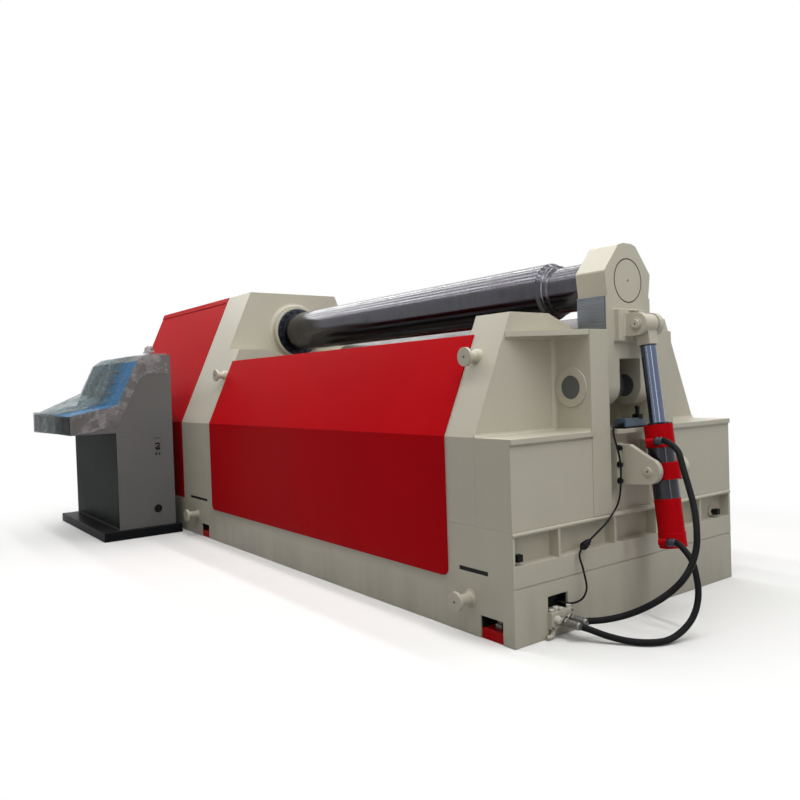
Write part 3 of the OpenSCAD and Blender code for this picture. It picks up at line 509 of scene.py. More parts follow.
def soft_edge_group():
    """Rounds sharp edges in the shading, marks them for wear, and leaves filled seams flat."""
    g, source, out = new_group(
        "Soft edge",
        [("Radius", "Float", 0.003), ("Height", "Float", 0.0), ("Depth", "Float", 0.001), ("Filled", "Float", 0.0)],
        [("Normal", "Vector"), ("Edge", "Float")])
    rounded = g.add("ShaderNodeBevel", {"Radius": source["Radius"]}, samples=6).outputs[0]
    flat = g.add("ShaderNodeNewGeometry").outputs["Normal"]
    kept = g.add("ShaderNodeMix", {0: source["Filled"], 4: rounded, 5: flat}, data_type="VECTOR").outputs[1]
    turn = g.add("ShaderNodeVectorMath", {0: kept, 1: flat}, operation="DOT_PRODUCT").outputs["Value"]
    bump = g.add("ShaderNodeBump", {"Height": source["Height"], "Distance": source["Depth"], "Normal": kept})
    g.fill(out, {"Normal": bump.outputs[0], "Edge": g.ramp(turn, 0.995, 0.85)})
    return g.tree


def filled_seams_group():
    """Marks the flush joints between the frame's plates, which are filled and painted over."""
    g, source, out = new_group("Filled seams", [("Reach", "Float", 0.010)], [("Filled", "Float")])
    x, y, z = g.parts(g.place())
    side = g.math("ABSOLUTE", y)
    half_reach = g.math("MULTIPLY", source["Reach"], 0.7)

    def near(coordinate, at):
        gap = g.math("ABSOLUTE", g.math("SUBTRACT", coordinate, at))
        return g.ramp(gap, half_reach, source["Reach"], 1.0, 0.0)

    joints = [
        g.math("MULTIPLY", near(x, WEB_X), g.math("LESS_THAN", z, KNEE_Z - 0.004)),
        near(z, BASE_Z),
        near(x, TALL_X),
        g.math("MULTIPLY", near(z, KNEE_Z), g.math("LESS_THAN", side, CHEEK_HALF - 0.002)),
        g.math("MULTIPLY", near(side, CHEEK_HALF), g.math("GREATER_THAN", z, SHELF_HI.z - 0.002)),
    ]
    filled = joints[0]
    for joint in joints[1:]:
        filled = g.math("MAXIMUM", filled, joint)
    g.fill(out, {"Filled": filled})
    return g.tree


def paint_coat_group():
    """Sprayed paint: slow tone changes, faint runs, dust on top faces, floor grime and an orange-peel height."""
    g, source, out = new_group(
        "Paint coat",
        [("Paint", "Color", (0.5, 0.5, 0.5, 1)), ("Edge", "Float", 0.0), ("Tone", "Float", 0.08),
         ("Dust", "Float", 0.2), ("Grime", "Float", 0.3), ("Chip", "Color", (0.2, 0.18, 0.15, 1)),
         ("Gloss", "Float", 0.3)],
        [("Colour", "Color"), ("Roughness", "Float"), ("Height", "Float")])
    where = g.place()
    up = g.parts(g.add("ShaderNodeNewGeometry").outputs["Normal"])["Z"]
    high = g.parts(where)["Z"]
    cloud = g.noise(where, 1.7, 4.0, 0.55)
    runs = g.noise(where, 9.0, 3.0, 0.6, stretch=(1, 1, 0.12))
    speck = g.noise(where, 60.0, 4.0, 0.65)
    tone = g.math("ADD", g.ramp(cloud, 0.2, 0.8, -0.7, 0.7), g.ramp(runs, 0.2, 0.8, -0.2, 0.2))
    tone = g.math("ADD", g.math("MULTIPLY", tone, source["Tone"]), 1.0)
    lit = g.add("ShaderNodeVectorMath", {0: source["Paint"], "Scale": tone}, operation="SCALE").outputs[0]
    dusty = g.math("MULTIPLY", g.ramp(up, 0.45, 0.98), g.ramp(cloud, 0.3, 0.7, 0.3, 1.0))
    dusty = g.math("MULTIPLY", dusty, source["Dust"])
    shade = g.mix(dusty, lit, DUST)
    low = g.math("MULTIPLY", g.ramp(high, 0.30, 0.0), g.ramp(runs, 0.3, 0.75, 0.1, 1.0))
    shade = g.mix(g.math("MULTIPLY", low, source["Grime"]), shade, GRIME)
    chipped = g.math("MULTIPLY", source["Edge"], g.ramp(speck, 0.58, 0.72))
    shade = g.mix(chipped, shade, source["Chip"])
    rough = g.math("ADD", source["Gloss"], g.ramp(cloud, 0.2, 0.8, -0.05, 0.05))
    rough = g.math("ADD", rough, g.math("MULTIPLY", dusty, 0.4))
    g.fill(out, {"Colour": shade, "Roughness": rough, "Height": g.noise(where, 340.0, 2.0, 0.5)})
    return g.tree


def turned_grain_group():
    """Fine tool marks that run round or along a piece, with smudges of oil."""
    g, source, out = new_group(
        "Turned grain", [("Stretch", "Vector", (900, 3, 3)), ("Smudge scale", "Float", 6.0)],
        [("Grain", "Float"), ("Smudge", "Float")])
    where = g.place()
    scaled = g.add("ShaderNodeVectorMath", {0: where, 1: source["Stretch"]}, operation="MULTIPLY").outputs[0]
    g.fill(out, {"Grain": g.noise(scaled, 1.0, 3.0), "Smudge": g.noise(where, source["Smudge scale"], 5.0)})
    return g.tree


def fine_grain_group():
    """Fine moulded or rubber grain with a soft bloom of dust."""
    g, source, out = new_group(
        "Fine grain", [("Scale", "Float", 900.0), ("Base", "Color", (0.02, 0.02, 0.02, 1)), ("Bloom", "Float", 0.2)],
        [("Colour", "Color"), ("Roughness", "Float"), ("Height", "Float")])
    where = g.place()
    patch = g.noise(where, 14.0, 4.0, 0.6)
    bloom = g.math("MULTIPLY", g.ramp(patch, 0.4, 0.8), source["Bloom"])
    g.fill(out, {"Colour": g.mix(bloom, source["Base"], BLOOM),
                 "Roughness": g.ramp(patch, 0.2, 0.8, 0.32, 0.55),
                 "Height": g.noise(where, source["Scale"], 2.0)})
    return g.tree


def film_group():
    """Crumpled plastic film: haze where it stands off, creases, and a mask for painted glints along its fold lines."""
    g, source, out = new_group(
        "Film", [("Scale", "Float", 7.0), ("Clear", "Float", 0.1), ("Hazy", "Float", 0.8)],
        [("Haze", "Float"), ("Patch", "Float"), ("Height", "Float"), ("Glint", "Float")])
    where = g.place()
    patch = g.noise(where, source["Scale"], 5.0, 0.62)
    crease = g.noise(where, g.math("MULTIPLY", source["Scale"], 4.2), 3.0, 0.55)
    sharp = g.math("ABSOLUTE", g.math("SUBTRACT", crease, 0.5))
    haze = g.ramp(patch, 0.34, 0.68, source["Clear"], source["Hazy"])
    fold = g.math("ABSOLUTE", g.math("SUBTRACT", g.noise(where, g.math("MULTIPLY", source["Scale"], 3.1), 2.0), 0.5))
    glint = g.math("MULTIPLY", g.ramp(fold, 0.012, 0.002), g.ramp(patch, 0.45, 0.6))
    g.fill(out, {"Haze": haze, "Patch": patch, "Height": sharp, "Glint": glint})
    return g.tree


GROUP_MAKERS = {
    "Soft edge": soft_edge_group, "Filled seams": filled_seams_group, "Paint coat": paint_coat_group,
    "Turned grain": turned_grain_group, "Fine grain": fine_grain_group, "Film": film_group,
}
GROUPS = {}


def effect(name):
    """The shared shader group of that name, built once."""
    if name not in GROUPS:
        GROUPS[name] = GROUP_MAKERS[name]()
    return GROUPS[name]


def new_material(name):
    """Material with one Principled shader; returns it, its graph and the shader."""
    made = bpy.data.materials.new(name)
    made.use_nodes = True
    made.node_tree.nodes.clear()
    graph = Graph(made.node_tree)
    shader = graph.add("ShaderNodeBsdfPrincipled")
    graph.add("ShaderNodeOutputMaterial", {"Surface": shader.outputs[0]})
    return made, graph, shader


def rgba(rgb, level=1.0):
    return (*(min(1.0, c * level) for c in rgb), 1.0)


def painted(name, rgb, dust=0.2, grime=0.3, tone=0.08, radius=0.004, chip=(0.25, 0.22, 0.18), gloss=0.34,
            coat=0.0, specular=0.4, seams=False):
    """Sprayed paint on steel."""
    made, g, shader = new_material(name)
    soft = g.group(effect("Soft edge"), {"Radius": radius, "Depth": 0.0005})
    coat_of = g.group(effect("Paint coat"), {
        "Paint": rgba(rgb), "Edge": soft["Edge"], "Tone": tone, "Dust": dust, "Grime": grime, "Chip": rgba(chip),
        "Gloss": gloss})
    soft_node = soft["Normal"].node
    g.fill(soft_node, {"Height": coat_of["Height"]})
    if seams:
        g.fill(soft_node, {"Filled": g.group(effect("Filled seams"), {"Reach": radius * 2.5})["Filled"]})
    g.link(shader, Base_Color=coat_of["Colour"], Roughness=coat_of["Roughness"], Normal=soft["Normal"])
    g.fill(shader, {"Specular IOR Level": specular, "Coat Weight": coat, "Coat Roughness": 0.1})
    return made


def steel(name, rgb, stretch, rough=(0.25, 0.42), depth=0.0004, smudge=6.0, dirt=(0.03, 0.028, 0.027), dirty=0.35,
          radius=0.002):
    """Bare machined steel with tool marks and oil smudges."""
    made, g, shader = new_material(name)
    marks = g.group(effect("Turned grain"), {"Stretch": stretch, "Smudge scale": smudge})
    soft = g.group(effect("Soft edge"), {"Radius": radius, "Height": marks["Grain"], "Depth": depth})
    oil = g.math("MULTIPLY", g.ramp(marks["Smudge"], 0.4, 0.75), dirty)
    tone = g.mix(g.ramp(marks["Grain"], 0.3, 0.7), rgba(rgb, 0.86), rgba(rgb, 1.12))
    g.link(shader, Base_Color=g.mix(oil, tone, rgba(dirt)), Roughness=g.ramp(marks["Smudge"], 0.25, 0.75, *rough),
           Normal=soft["Normal"])
    g.fill(shader, {"Metallic": 1.0})
    return made


def moulded(name, rgb, scale=900.0, bloom=0.2, depth=0.0003, specular=0.4):
    """Rubber or moulded plastic."""
    made, g, shader = new_material(name)
    fine = g.group(effect("Fine grain"), {"Scale": scale, "Base": rgba(rgb), "Bloom": bloom})
    soft = g.group(effect("Soft edge"), {"Radius": 0.0015, "Height": fine["Height"], "Depth": depth})
    g.link(shader, Base_Color=fine["Colour"], Roughness=fine["Roughness"], Normal=soft["Normal"])
    g.fill(shader, {"Specular IOR Level": specular})
    return made


def film(name, rgb, clear, hazy, scale=7.0, rough=0.16, clear_from=None, glint=0.8, specular=0.12):
    """Thin plastic film: clear where it lies tight, hazy where it is crumpled, with painted glints along its fold
    lines.
    """
    made, g, shader = new_material(name)
    crumple = g.group(effect("Film"), {"Scale": scale, "Clear": clear, "Hazy": hazy})
    haze = crumple["Haze"]
    if clear_from:
        x = g.parts(g.place())["X"]
        haze = g.math("MULTIPLY", haze, g.ramp(x, clear_from[0], clear_from[1], 1.0, 0.15))
    # Painted highlight: pale, more opaque lines along the fold lines stand for the film's glints
    fold_glints = g.math("MULTIPLY", crumple["Glint"], glint)
    tint = g.mix(crumple["Patch"], rgba(rgb, 0.5), rgba(rgb, 1.3))
    bump = g.add("ShaderNodeBump", {"Height": crumple["Height"], "Distance": 0.020, "Strength": 0.9})
    g.link(shader, Base_Color=g.mix(fold_glints, tint, FOLD_GLINT), Alpha=g.math("MAXIMUM", haze, fold_glints),
           Normal=bump.outputs[0])
    g.fill(shader, {"Roughness": rough, "Specular IOR Level": specular})
    return made


MATERIALS = {}


def material(name):
    """The machine's material of that name, built once from the scene's colours."""
    if name not in MATERIALS:
        c = bpy.context.scene.plate_roll_finishes
        makers = {
            "frame_paint": lambda: painted(name, c.cream, seams=True, grime=0.22, tone=0.06, specular=0.2),
            "fitting_paint": lambda: painted(name, c.cream, radius=0.0015, grime=0.15, tone=0.06, specular=0.2),
            "red_paint": lambda: painted(name, c.red, dust=0.02, grime=0.25, tone=0.08, radius=0.003,
                                         chip=(0.10, 0.01, 0.01), gloss=0.32, specular=0.012),
            "roll_steel": lambda: steel(name, c.roll, (500, 3, 3), rough=(0.13, 0.24), depth=0.00006, dirty=0.3),
            "dark_steel": lambda: steel(name, c.dark_steel, (60, 60, 60), rough=(0.3, 0.5), smudge=24.0),
            "shaft_steel": lambda: steel(name, c.shaft, (240, 6, 6), rough=(0.32, 0.46), dirty=0.4),
            "pin_steel": lambda: painted(name, c.pin, dust=0.0, grime=0.0, radius=0.002, chip=(0.2, 0.2, 0.2)),
            "guide_steel": lambda: steel(name, c.guide, (10, 10, 420), rough=(0.36, 0.5), dirty=0.2),
            # Dark blue-grey chrome colour: painted reflection of dark surroundings
            "rod_chrome": lambda: steel(name, c.chrome, (4, 4, 700), rough=(0.07, 0.12), depth=0.00003, dirty=0.12),
            "barrel_black": lambda: painted(name, c.barrel, dust=0.0, grime=0.0, chip=(0.05, 0.05, 0.06), gloss=0.2,
                                            coat=0.1, specular=0.3),
            "hose_rubber": lambda: moulded(name, c.rubber, scale=1400.0, bloom=0.05, specular=0.06),
            "zinc": lambda: steel(name, c.zinc, (300, 300, 300), rough=(0.34, 0.52), smudge=40.0, radius=0.0008),
            "switch_plastic": lambda: moulded(name, c.switch, bloom=0.35),
            "black_plastic": lambda: moulded(name, c.plastic, bloom=0.05, specular=0.06),
            "pale_plastic": lambda: moulded(name, c.knob, bloom=0.1),
            # Painted shade for openings, slits, grooves and drill marks
            "hollow": lambda: moulded(name, c.shade, bloom=0.05, specular=0.1),
            "console_paint": lambda: painted(name, c.console, dust=0.05, grime=0.1, tone=0.06, gloss=0.38,
                                             specular=0.02),
            # Painted shade of the console's front faces
            "front_shade_paint": lambda: painted(name, c.console_front_shade, dust=0.0, grime=0.2, tone=0.15, specular=0.006),
            "plinth_paint": lambda: painted(name, c.plinth, dust=0.03, grime=0.0, chip=(0.05, 0.05, 0.05),
                                            specular=0.02),
            "blue_film": lambda: film(name, c.blue_film, 0.94, 1.0, scale=11.0, rough=0.3, glint=0.25, specular=0.03),
            "wrap": lambda: film(name, c.wrap, 0.66, 0.94, clear_from=(DESK_HI.x - 0.55, DESK_HI.x - 0.14),
                                 specular=0.04),
            "side_wrap": lambda: film(name, c.side_wrap, 0.25, 0.85, scale=12.0),
        }
        MATERIALS[name] = makers[name]()
    return MATERIALS[name]


def cream_piece(name, shape, body="frame"):
    """A small fitting in the frame's cream paint."""
    return piece(name, shape, "fitting_paint", body)


# Operators


class PLATEROLL_OT_stage(bpy.types.Operator):
    """Adds the camera at the photograph's angle, the pale floor and the soft lamps"""

    bl_idname = "plate_roll.stage"
    bl_label = "Stage"

    def execute(self, context):
        s = context.scene.plate_roll_stage
        self.add_camera(context, s)
        self.add_floor(s)
        for name, at, target, size, share in LAMPS:
            self.add_lamp(context, name, at, target, size, s.strips * share)
        self.light_world(context, s)
        context.scene.view_settings.view_transform = "Standard"
        return {"FINISHED"}

    def add_camera(self, context, s):
        data = bpy.data.cameras.new("camera")
        data.lens = s.lens
        data.shift_y = s.rise
        level = Vector((math.cos(s.yaw), -math.sin(s.yaw), 0))
        ahead = Vector((math.sin(s.yaw) * math.cos(s.pitch), math.cos(s.yaw) * math.cos(s.pitch), -math.sin(s.pitch)))
        upright = level.cross(ahead)
        right = level * math.cos(s.roll) + upright * math.sin(s.roll)
        up = upright * math.cos(s.roll) - level * math.sin(s.roll)
        obj = bpy.data.objects.new("camera", data)
        obj.matrix_world = Matrix.Translation(s.camera) @ Matrix((right, up, -ahead)).transposed().to_4x4()
        context.scene.collection.objects.link(obj)
        context.scene.camera = obj

    def add_floor(self, s):
        corners = [(x * FLOOR_HALF, y * FLOOR_HALF, 0) for x, y in ((-1, -1), (1, -1), (1, 1), (-1, 1))]
        shape = Shape().add(corners, [(0, 1, 2, 3)])
        made, g, shader = new_material("studio_floor")
        drawn_in = g.add("ShaderNodeVectorMath", {0: g.place(), 1: FADE_SHAPE}, operation="MULTIPLY").outputs[0]
        far = g.add("ShaderNodeVectorMath", {0: drawn_in}, operation="LENGTH").outputs["Value"]
        seen = g.seen()
        g.link(shader, Base_Color=g.mix(seen, rgba(s.floor, FLOOR_BOUNCE), rgba(s.floor)))
        g.fill(shader, {"Roughness": 0.9, "Specular IOR Level": 0.1})
        white = g.add("ShaderNodeEmission", {"Color": WHITE, "Strength": 1.0})
        fade = g.math("MULTIPLY", g.ramp(far, *FADE_SPAN), seen)
        both = g.add("ShaderNodeMixShader", {0: fade, 1: shader.outputs[0], 2: white.outputs[0]})
        end = next(n for n in g.tree.nodes if n.type == "OUTPUT_MATERIAL")
        g.fill(end, {"Surface": both.outputs[0]})
        MATERIALS["studio_floor"] = made
        floor = loose_piece("studio_floor", shape, "studio_floor")
        floor.location.z = -FLOOR_DROP

    def add_lamp(self, context, name, at, target, size, watts):
        data = bpy.data.lights.new(name, "AREA")
        data.shape = "RECTANGLE"
        data.size, data.size_y = size
        data.energy = watts
        obj = bpy.data.objects.new(name, data)
        obj.location = at
        obj.rotation_euler = (Vector(target) - Vector(at)).to_track_quat("-Z", "Y").to_euler()
        context.scene.collection.objects.link(obj)

    def light_world(self, context, s):
        """Dim even light, stronger from above, behind a white background."""
        world = bpy.data.worlds.new("studio")
        context.scene.world = world
        world.use_nodes = True
        world.node_tree.nodes.clear()
        g = Graph(world.node_tree)
        up = g.parts(g.add("ShaderNodeTexCoord").outputs["Generated"])["Z"]
        level = g.ramp(up, *FILL_SPAN, *(s.fill * share for share in FILL_SHARES))
        even = g.add("ShaderNodeBackground", {"Color": WHITE, "Strength": level})
        white = g.add("ShaderNodeBackground", {"Color": WHITE, "Strength": 1.0})
        both = g.add("ShaderNodeMixShader", {0: g.seen(), 1: even.outputs[0], 2: white.outputs[0]})
        g.add("ShaderNodeOutputWorld", {"Surface": both.outputs[0]})


class PLATEROLL_OT_hoses(bpy.types.Operator):
    """Lays the two hydraulic hoses and the switch cable on the CAD routes, with their end fittings"""

    bl_idname = "plate_roll.hoses"
    bl_label = "Hoses and cable"

    def execute(self, context):
        s = context.scene.plate_roll_sizes
        self.add_hose("upper_hose_cover", "upper_hose", UPPER_ROUTE, s)
        self.add_hose("lower_hose_cover", "lower_hose", LOWER_ROUTE, s)
        self.add_cable(s)
        return {"FINISHED"}

    def add_hose(self, name, node, route, s):
        path = smooth_route(route)
        hose = loose_piece(name, Shape().tube(path, s.hose / 2), "hose_rubber")
        start, end = Vector(route[0]), Vector(route[-1])
        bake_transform(hose)
        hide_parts(node)
        out, back = Vector(route[1]) - start, Vector(route[-2]) - end
        port = self.fitting(name + "_port_end", start, out, "cylinder", s, "dark_steel", PORT_SHARE)
        union = self.fitting(name + "_union_end", end, back, "frame", s, "zinc", 1.0)

    def fitting(self, name, at, along, body, s, finish, share):
        """Swivel nut and crimped ferrule on a hose end, facing along the hose."""
        r, end = s.hose / 2, s.ferrule * share
        along = Vector(along).normalized()
        step = (end - 0.018) / CRIMPS
        section = [(r * 1.12, 0.010), (r * 1.12, 0.014)]
        for k in range(CRIMPS):
            section += [(r * wide, 0.015 + k * step + step * part) for wide, part in CRIMP]
        section += [(r * 1.26, end - 0.002), (r * 1.04, end + 0.002)]
        shape = Shape().turned(at, along, section, 28)
        shape.hex_head(Vector(at) + along * 0.0006, along, r * 2.5, 0.013)
        return piece(name, shape, finish, body)

    def add_cable(self, s):
        path = smooth_route(CABLE_ROUTE)
        cable = loose_piece("switch_cable_cover", Shape().tube(path, s.cable / 2, 14), "hose_rubber")
        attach(cable, "frame")
        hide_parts("sensor_cable")
        gland = piece("switch_cable_gland", self.gland(path), "black_plastic")
        joint = piece("switch_cable_connector", self.connector(path), "black_plastic")

    def gland(self, path):
        """Tapered, ribbed strain relief where the cable leaves the switch."""
        section = [(0.009, -0.0008), (0.009, 0.004), (0.0075, 0.007)]
        for k in range(5):
            r, h = 0.0072 - 0.0004 * k, 0.009 + 0.004 * k
            section += [(r, h), (r, h + 0.002), (r - 0.0012, h + 0.0025)]
        return Shape().turned(path[0], path[1] - path[0], section, 20)

    def connector(self, path):
        """Two-part plug joint that hangs on the cable."""
        spot = min(range(len(path)), key=lambda i: (path[i] - CONNECTOR_AT).length)
        along = path[spot + 1] - path[spot - 1]
        body = [(0.005, -0.030), (0.0085, -0.027), (0.0105, -0.016), (0.0135, -0.014), (0.0135, -0.001)]
        nut = [(0.0155, 0.0), (0.0155, 0.006), (0.014, 0.008), (0.0155, 0.010), (0.0155, 0.016)]
        tail = [(0.0115, 0.017), (0.0105, 0.024), (0.0062, 0.028), (0.005, 0.032)]
        return Shape().turned(path[spot], along, body + nut + tail, 12)


class PLATEROLL_OT_finishes(bpy.types.Operator):
    """Gives each CAD node the material of its slot in the record"""

    bl_idname = "plate_roll.finishes"
    bl_label = "Finishes"

    def execute(self, context):
        for row in frame["record"]["subparts"]:
            mesh = frame["nodes"][row["node"]].data
            mesh.materials.clear()
            mesh.materials.append(material(NODE_FINISHES.get(row["node"], row["material_slot"])))
        return {"FINISHED"}


class PLATEROLL_OT_welds(bpy.types.Operator):
    """Runs the painted fillet welds along the frame's and the yoke's corners"""

    bl_idname = "plate_roll.welds"
    bl_label = "Welds"

    def execute(self, context):
        s = context.scene.plate_roll_sizes
        cream_piece("frame_welds", self.frame_welds(s.weld, s.small_weld))
        cream_piece("yoke_welds", self.yoke_welds(s.small_weld), "yoke")
        collars, marks = self.pin_collars()
        cream_piece("lifting_pin_collars", collars)
        # Near-black centre marks on the lifting pins: painted shade in the drill marks
        piece("lifting_pin_mark_shade", marks, "hollow")
        cream_piece("bearing_boss_weld", Shape().ring_weld((TALL_X, 0, ROLL_AXIS.z), X_AXIS, BOSS_R, 0.024, 64))
        return {"FINISHED"}

    def frame_welds(self, leg, small):
        shape = Shape()
        shelf_z, lip_z, lip = SHELF_LO.z, KNEE_Z - COVER_T, LIP_X - END_X
        low, high = BRACKET_LO.z + 0.014, BRACKET_HI.z - 0.008
        for side in SIDES:
            out, inward = (0, side, 0), (0, -side, 0)
            cheek_y, edge_y, shelf_y, slot_y = (side * y for y in (CHEEK_HALF, HALF_DEPTH, SHELF_HI.y, SLOT_HALF))
            for a, b, u, v, size in (
                ((WEB_X, cheek_y, KNEE_Z), (WEB_X, cheek_y, shelf_z), X_AXIS, out, leg * 1.3),
                ((WEB_X, edge_y, KNEE_Z), (WEB_X, cheek_y, KNEE_Z), X_AXIS, Z_AXIS, leg),
                ((WEB_X, cheek_y, KNEE_Z), (END_X, cheek_y, KNEE_Z), out, Z_AXIS, leg),
                ((WEB_X, shelf_y, shelf_z), (WEB_X, cheek_y, shelf_z), X_AXIS, -Z_AXIS, leg * 0.8),
                ((WEB_X, cheek_y, shelf_z), (END_X - 0.012, cheek_y, shelf_z), out, -Z_AXIS, leg * 0.8),
                ((END_X, edge_y, lip_z), (END_X, cheek_y, lip_z), X_AXIS, -Z_AXIS, lip),
                ((LIP_X, cheek_y, lip_z), (LIP_X, cheek_y, KNEE_Z), -X_AXIS, inward, lip),
                ((SLOT_X, slot_y, BASE_Z), (SLOT_X, slot_y, KNEE_Z), X_AXIS, inward, small * 1.4),
            ):
                shape.fillet(a, b, u, v, size)
            for y, way in ((side * BRACKET_OUT, out), (side * BRACKET_IN, inward)):
                shape.fillet((BRACKET_FOOT_X, y, low), (BRACKET_FOOT_X, y, high), X_AXIS, way, small)
        return shape

    def yoke_welds(self, leg):
        shape = Shape()
        ear_x, low, high = YOKE_X + PAD_T, PIN_LO.z - EAR_REACH, PIN_HI.z + EAR_REACH
        for side in SIDES:
            out, pad_y, ear_y = (0, side, 0), side * PAD_HALF, side * EAR_OUT
            shape.fillet((YOKE_X, pad_y, PAD_Z0), (YOKE_X, pad_y, PAD_Z1), X_AXIS, out, leg)
            shape.fillet((ear_x, ear_y, low), (ear_x, ear_y, high), X_AXIS, out, leg)
        shape.fillet((YOKE_X, -PAD_HALF, PAD_Z0), (YOKE_X, PAD_HALF, PAD_Z0), X_AXIS, -Z_AXIS, leg)
        shape.fillet((YOKE_X, -PAD_HALF, PAD_Z1), (YOKE_X, PAD_HALF, PAD_Z1), X_AXIS, Z_AXIS, leg)
        return shape

    def pin_collars(self):
        """Weld collars at the roots of the lifting pins, and the drill marks on their heads."""
        shape, marks = Shape(), Shape()
        for x, z in LIFTING_PINS:
            upright = z < KNEE_Z
            for side in SIDES:
                out = (0, side, 0)
                root = Vector((x, side * lean_y(z), z))
                if upright:
                    shape.ring_weld(root, out, 0.022, 0.014)
                else:
                    shape.turned(root, out, [(0.030, -0.012), (0.031, 0.004), (0.028, 0.013), (0.0215, 0.019)])
                head = side * (lean_y(z) + LIFT_PIN_LEN - (0 if upright else LIFT_PIN_ROOT))
                marks.centre_mark((x, head, z), out, 0.005)
        return shape, marks


class PLATEROLL_OT_fasteners(bpy.types.Operator):
    """Adds the bearing ring's bolts, the bracket bolts, the jack screws and painted shade in the base's openings"""

    bl_idname = "plate_roll.fasteners"
    bl_label = "Fasteners"

    def execute(self, context):
        s = context.scene.plate_roll_sizes
        self.add_bolts(s)
        self.add_jack_screws()
        self.add_shade_insides()
        return {"FINISHED"}

    def add_bolts(self, s):
        bolts = Shape()
        for at in circle((RING_X, 0, ROLL_AXIS.z), X_AXIS, BOLT_CIRCLE_R, 0, s.ring_bolts):
            bolts.socket_head(at, X_AXIS, s.ring_bolt, 0.012)
        seal = [(0.100, 0), (0.128, 0), (0.126, 0.008), (0.102, 0.010)]
        bolts.ring((RING_X, 0, ROLL_AXIS.z), X_AXIS, seal, 64)
        piece("bearing_ring_bolts", bolts, "dark_steel")
        heads = Shape()
        for side in SIDES:
            for z in BRACKET_BOLT_ZS:
                at = (BRACKET_FOOT_X, side * BRACKET_BOLT_Y, z)
                heads.hex_head(at, X_AXIS, s.bracket_bolt * 0.75, 0.013, washer=0.003)
        piece("bracket_bolts", heads, "black_plastic")

    def add_jack_screws(self):
        screws = Shape()
        thread = []
        for k in range(6):
            thread += [(0.0208, 0.060 + 0.004 * k), (0.0222, 0.062 + 0.004 * k)]
        for x, y in FEET:
            screws.hex_head((x, y, FOOT_TOP + 0.0002), Z_AXIS, 0.050, 0.022)
            screws.turned((x, y, 0), Z_AXIS, thread + [(0.0208, POCKET_TOP)], 24)
        piece("jack_screws", screws, "zinc")

    def add_shade_insides(self):
        """Thin near-black plates that paint the shade inside the jack pockets and the base's slits."""
        backs, slits = Shape(), Shape()
        low, wall = 0.001, HALF_DEPTH - POCKET_DEPTH
        near, far = wall + SHADE_PLATE_T * 1.2, HALF_DEPTH - 0.006
        for x in FEET_X:
            backs.slabs((x - 0.0595, wall, low), (x + 0.0595, wall + SHADE_PLATE_T, POCKET_TOP))
            for edge in (x - 0.0597, x + 0.0587):
                backs.slabs((edge, near, low), (edge + SHADE_PLATE_T, far, POCKET_TOP))
        piece("jack_pocket_shade", backs, "hollow")
        near, far = HALF_DEPTH - 0.0248, HALF_DEPTH - 0.004
        for x0, x1 in SLITS:
            slits.slabs((x0 + GAP, near, SLIT_Z0 + GAP), (x1 - GAP, far, SLIT_Z1 - GAP))
        piece("slit_shade", slits, "hollow")


